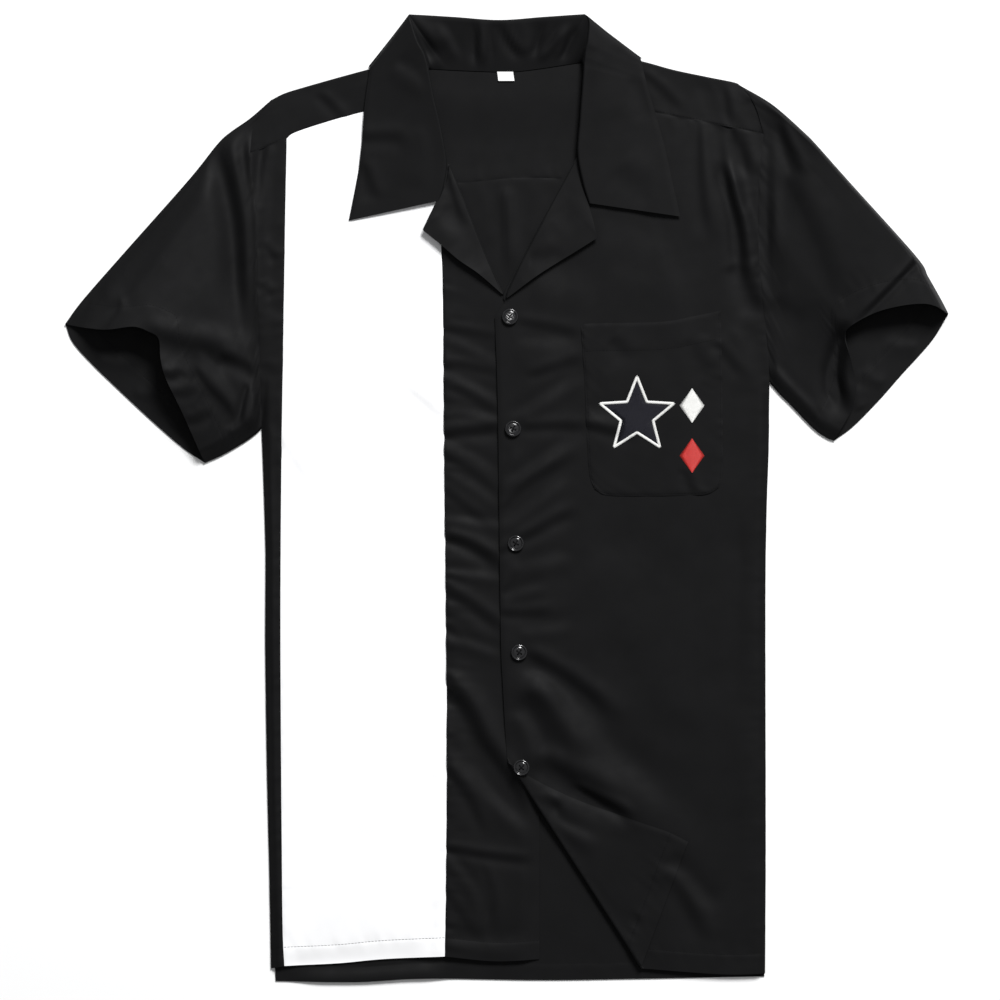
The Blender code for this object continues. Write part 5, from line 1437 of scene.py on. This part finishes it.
def polygon(centre, radii, first_angle):
    """Corners at these radii and at even angles round a centre."""
    angles = first_angle + 2 * math.pi * np.arange(len(radii)) / len(radii)
    return centre + np.array(radii)[:, None] * np.column_stack([np.cos(angles), np.sin(angles)])


def make_embroidery(finishes):
    """A star with a pale outline and two small diamonds, in satin stitch."""
    star = polygon(STAR_CENTRE, [STAR_OUTER, STAR_INNER] * 5, math.pi / 2)
    for name, ends, lift, finish, slot in (
            ("star_fill", satin_fill(star, 0.5), 0.35, "navy_thread", "black_cotton"),
            ("star_outline", satin_band(star, STAR_BAND), 0.75, "white_thread", "white_cotton")):
        obj = strands("embroidery_" + name, on_pocket(*ends, lift), SATIN_RADIUS, finishes[finish])
        dress(obj, None)
    for colour, centre, half_width, half_height in DIAMONDS:
        shape = polygon(centre, [half_width, half_height] * 2, 0.0)
        paths = on_pocket(*satin_fill(shape, 0.0), 0.5)
        obj = strands(f"embroidery_{colour}_diamond", paths, SATIN_RADIUS, finishes[colour])
        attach(obj, "root")


def make_sewing(finishes):
    for colour, lines in SEWING.items():
        paths = np.concatenate([stitch_paths(points) for points in lines])
        thread, radius = THREADS[colour]
        obj = strands("sewing_" + colour, paths, radius, finishes[thread])
        dress(obj, None)


# ---------------------------------------------------------------- stage, in metres

def make_stage():
    """A pale floor, a bright room, one large soft light from the top right and a small one overhead."""
    scene = bpy.context.scene
    ground = bpy.data.meshes.new("floor")
    corners = [(-FLOOR_HALF, -FLOOR_HALF, 0), (FLOOR_HALF, -FLOOR_HALF, 0),
               (FLOOR_HALF, FLOOR_HALF, 0), (-FLOOR_HALF, FLOOR_HALF, 0)]
    ground.from_pydata(corners, [], [(0, 1, 2, 3)])
    paint, *_, shader = shader_of("pale_floor")
    shader.inputs["Base Color"].default_value = (0.93, 0.93, 0.93, 1)
    shader.inputs["Roughness"].default_value = 0.9
    shader.inputs["Specular IOR Level"].default_value = 0.1
    ground.materials.append(paint)
    place_object("floor", ground)

    world = bpy.data.worlds.new("room")
    scene.world = world
    world.use_nodes = True
    room = world.node_tree.nodes["Background"]
    room.inputs["Color"].default_value = (0.98, 0.99, 1.0, 1)
    room.inputs["Strength"].default_value = 0.25

    for name, place, size, power in LIGHTS:
        lamp = bpy.data.lights.new(name, "AREA")
        lamp.size = size
        lamp.energy = power
        light = place_object(name, lamp)
        light.location = place
        light.rotation_mode = "QUATERNION"
        light.rotation_quaternion = (-Vector(place)).to_track_quat("-Z", "Y")

    lens = bpy.data.cameras.new("camera")
    lens.sensor_width = SENSOR
    lens.lens = SENSOR * CAMERA_HEIGHT / VIEW_WIDTH
    lens.clip_end = 20.0
    camera = place_object("camera", lens)
    camera.location = (*VIEW_CENTRE, CAMERA_HEIGHT)
    scene.camera = camera
    scene.view_settings.view_transform = "Standard"


def main():
    finishes = make_finishes()
    black = finishes["black"]
    make_back(black)
    make_yoke(black)
    make_side_front(black)
    make_contrast_panel(finishes["white"])
    make_right_front(black)
    make_left_front(black)
    for name in SLEEVES:
        make_sleeve(name, black)
    make_collar(black)
    for name in LAPELS:
        make_lapel(name, black)
    make_pocket(black)
    make_buttons(finishes["button"], finishes["black_thread"])
    make_label(finishes["label"])
    make_embroidery(finishes)
    make_sewing(finishes)
    make_stage()


main()
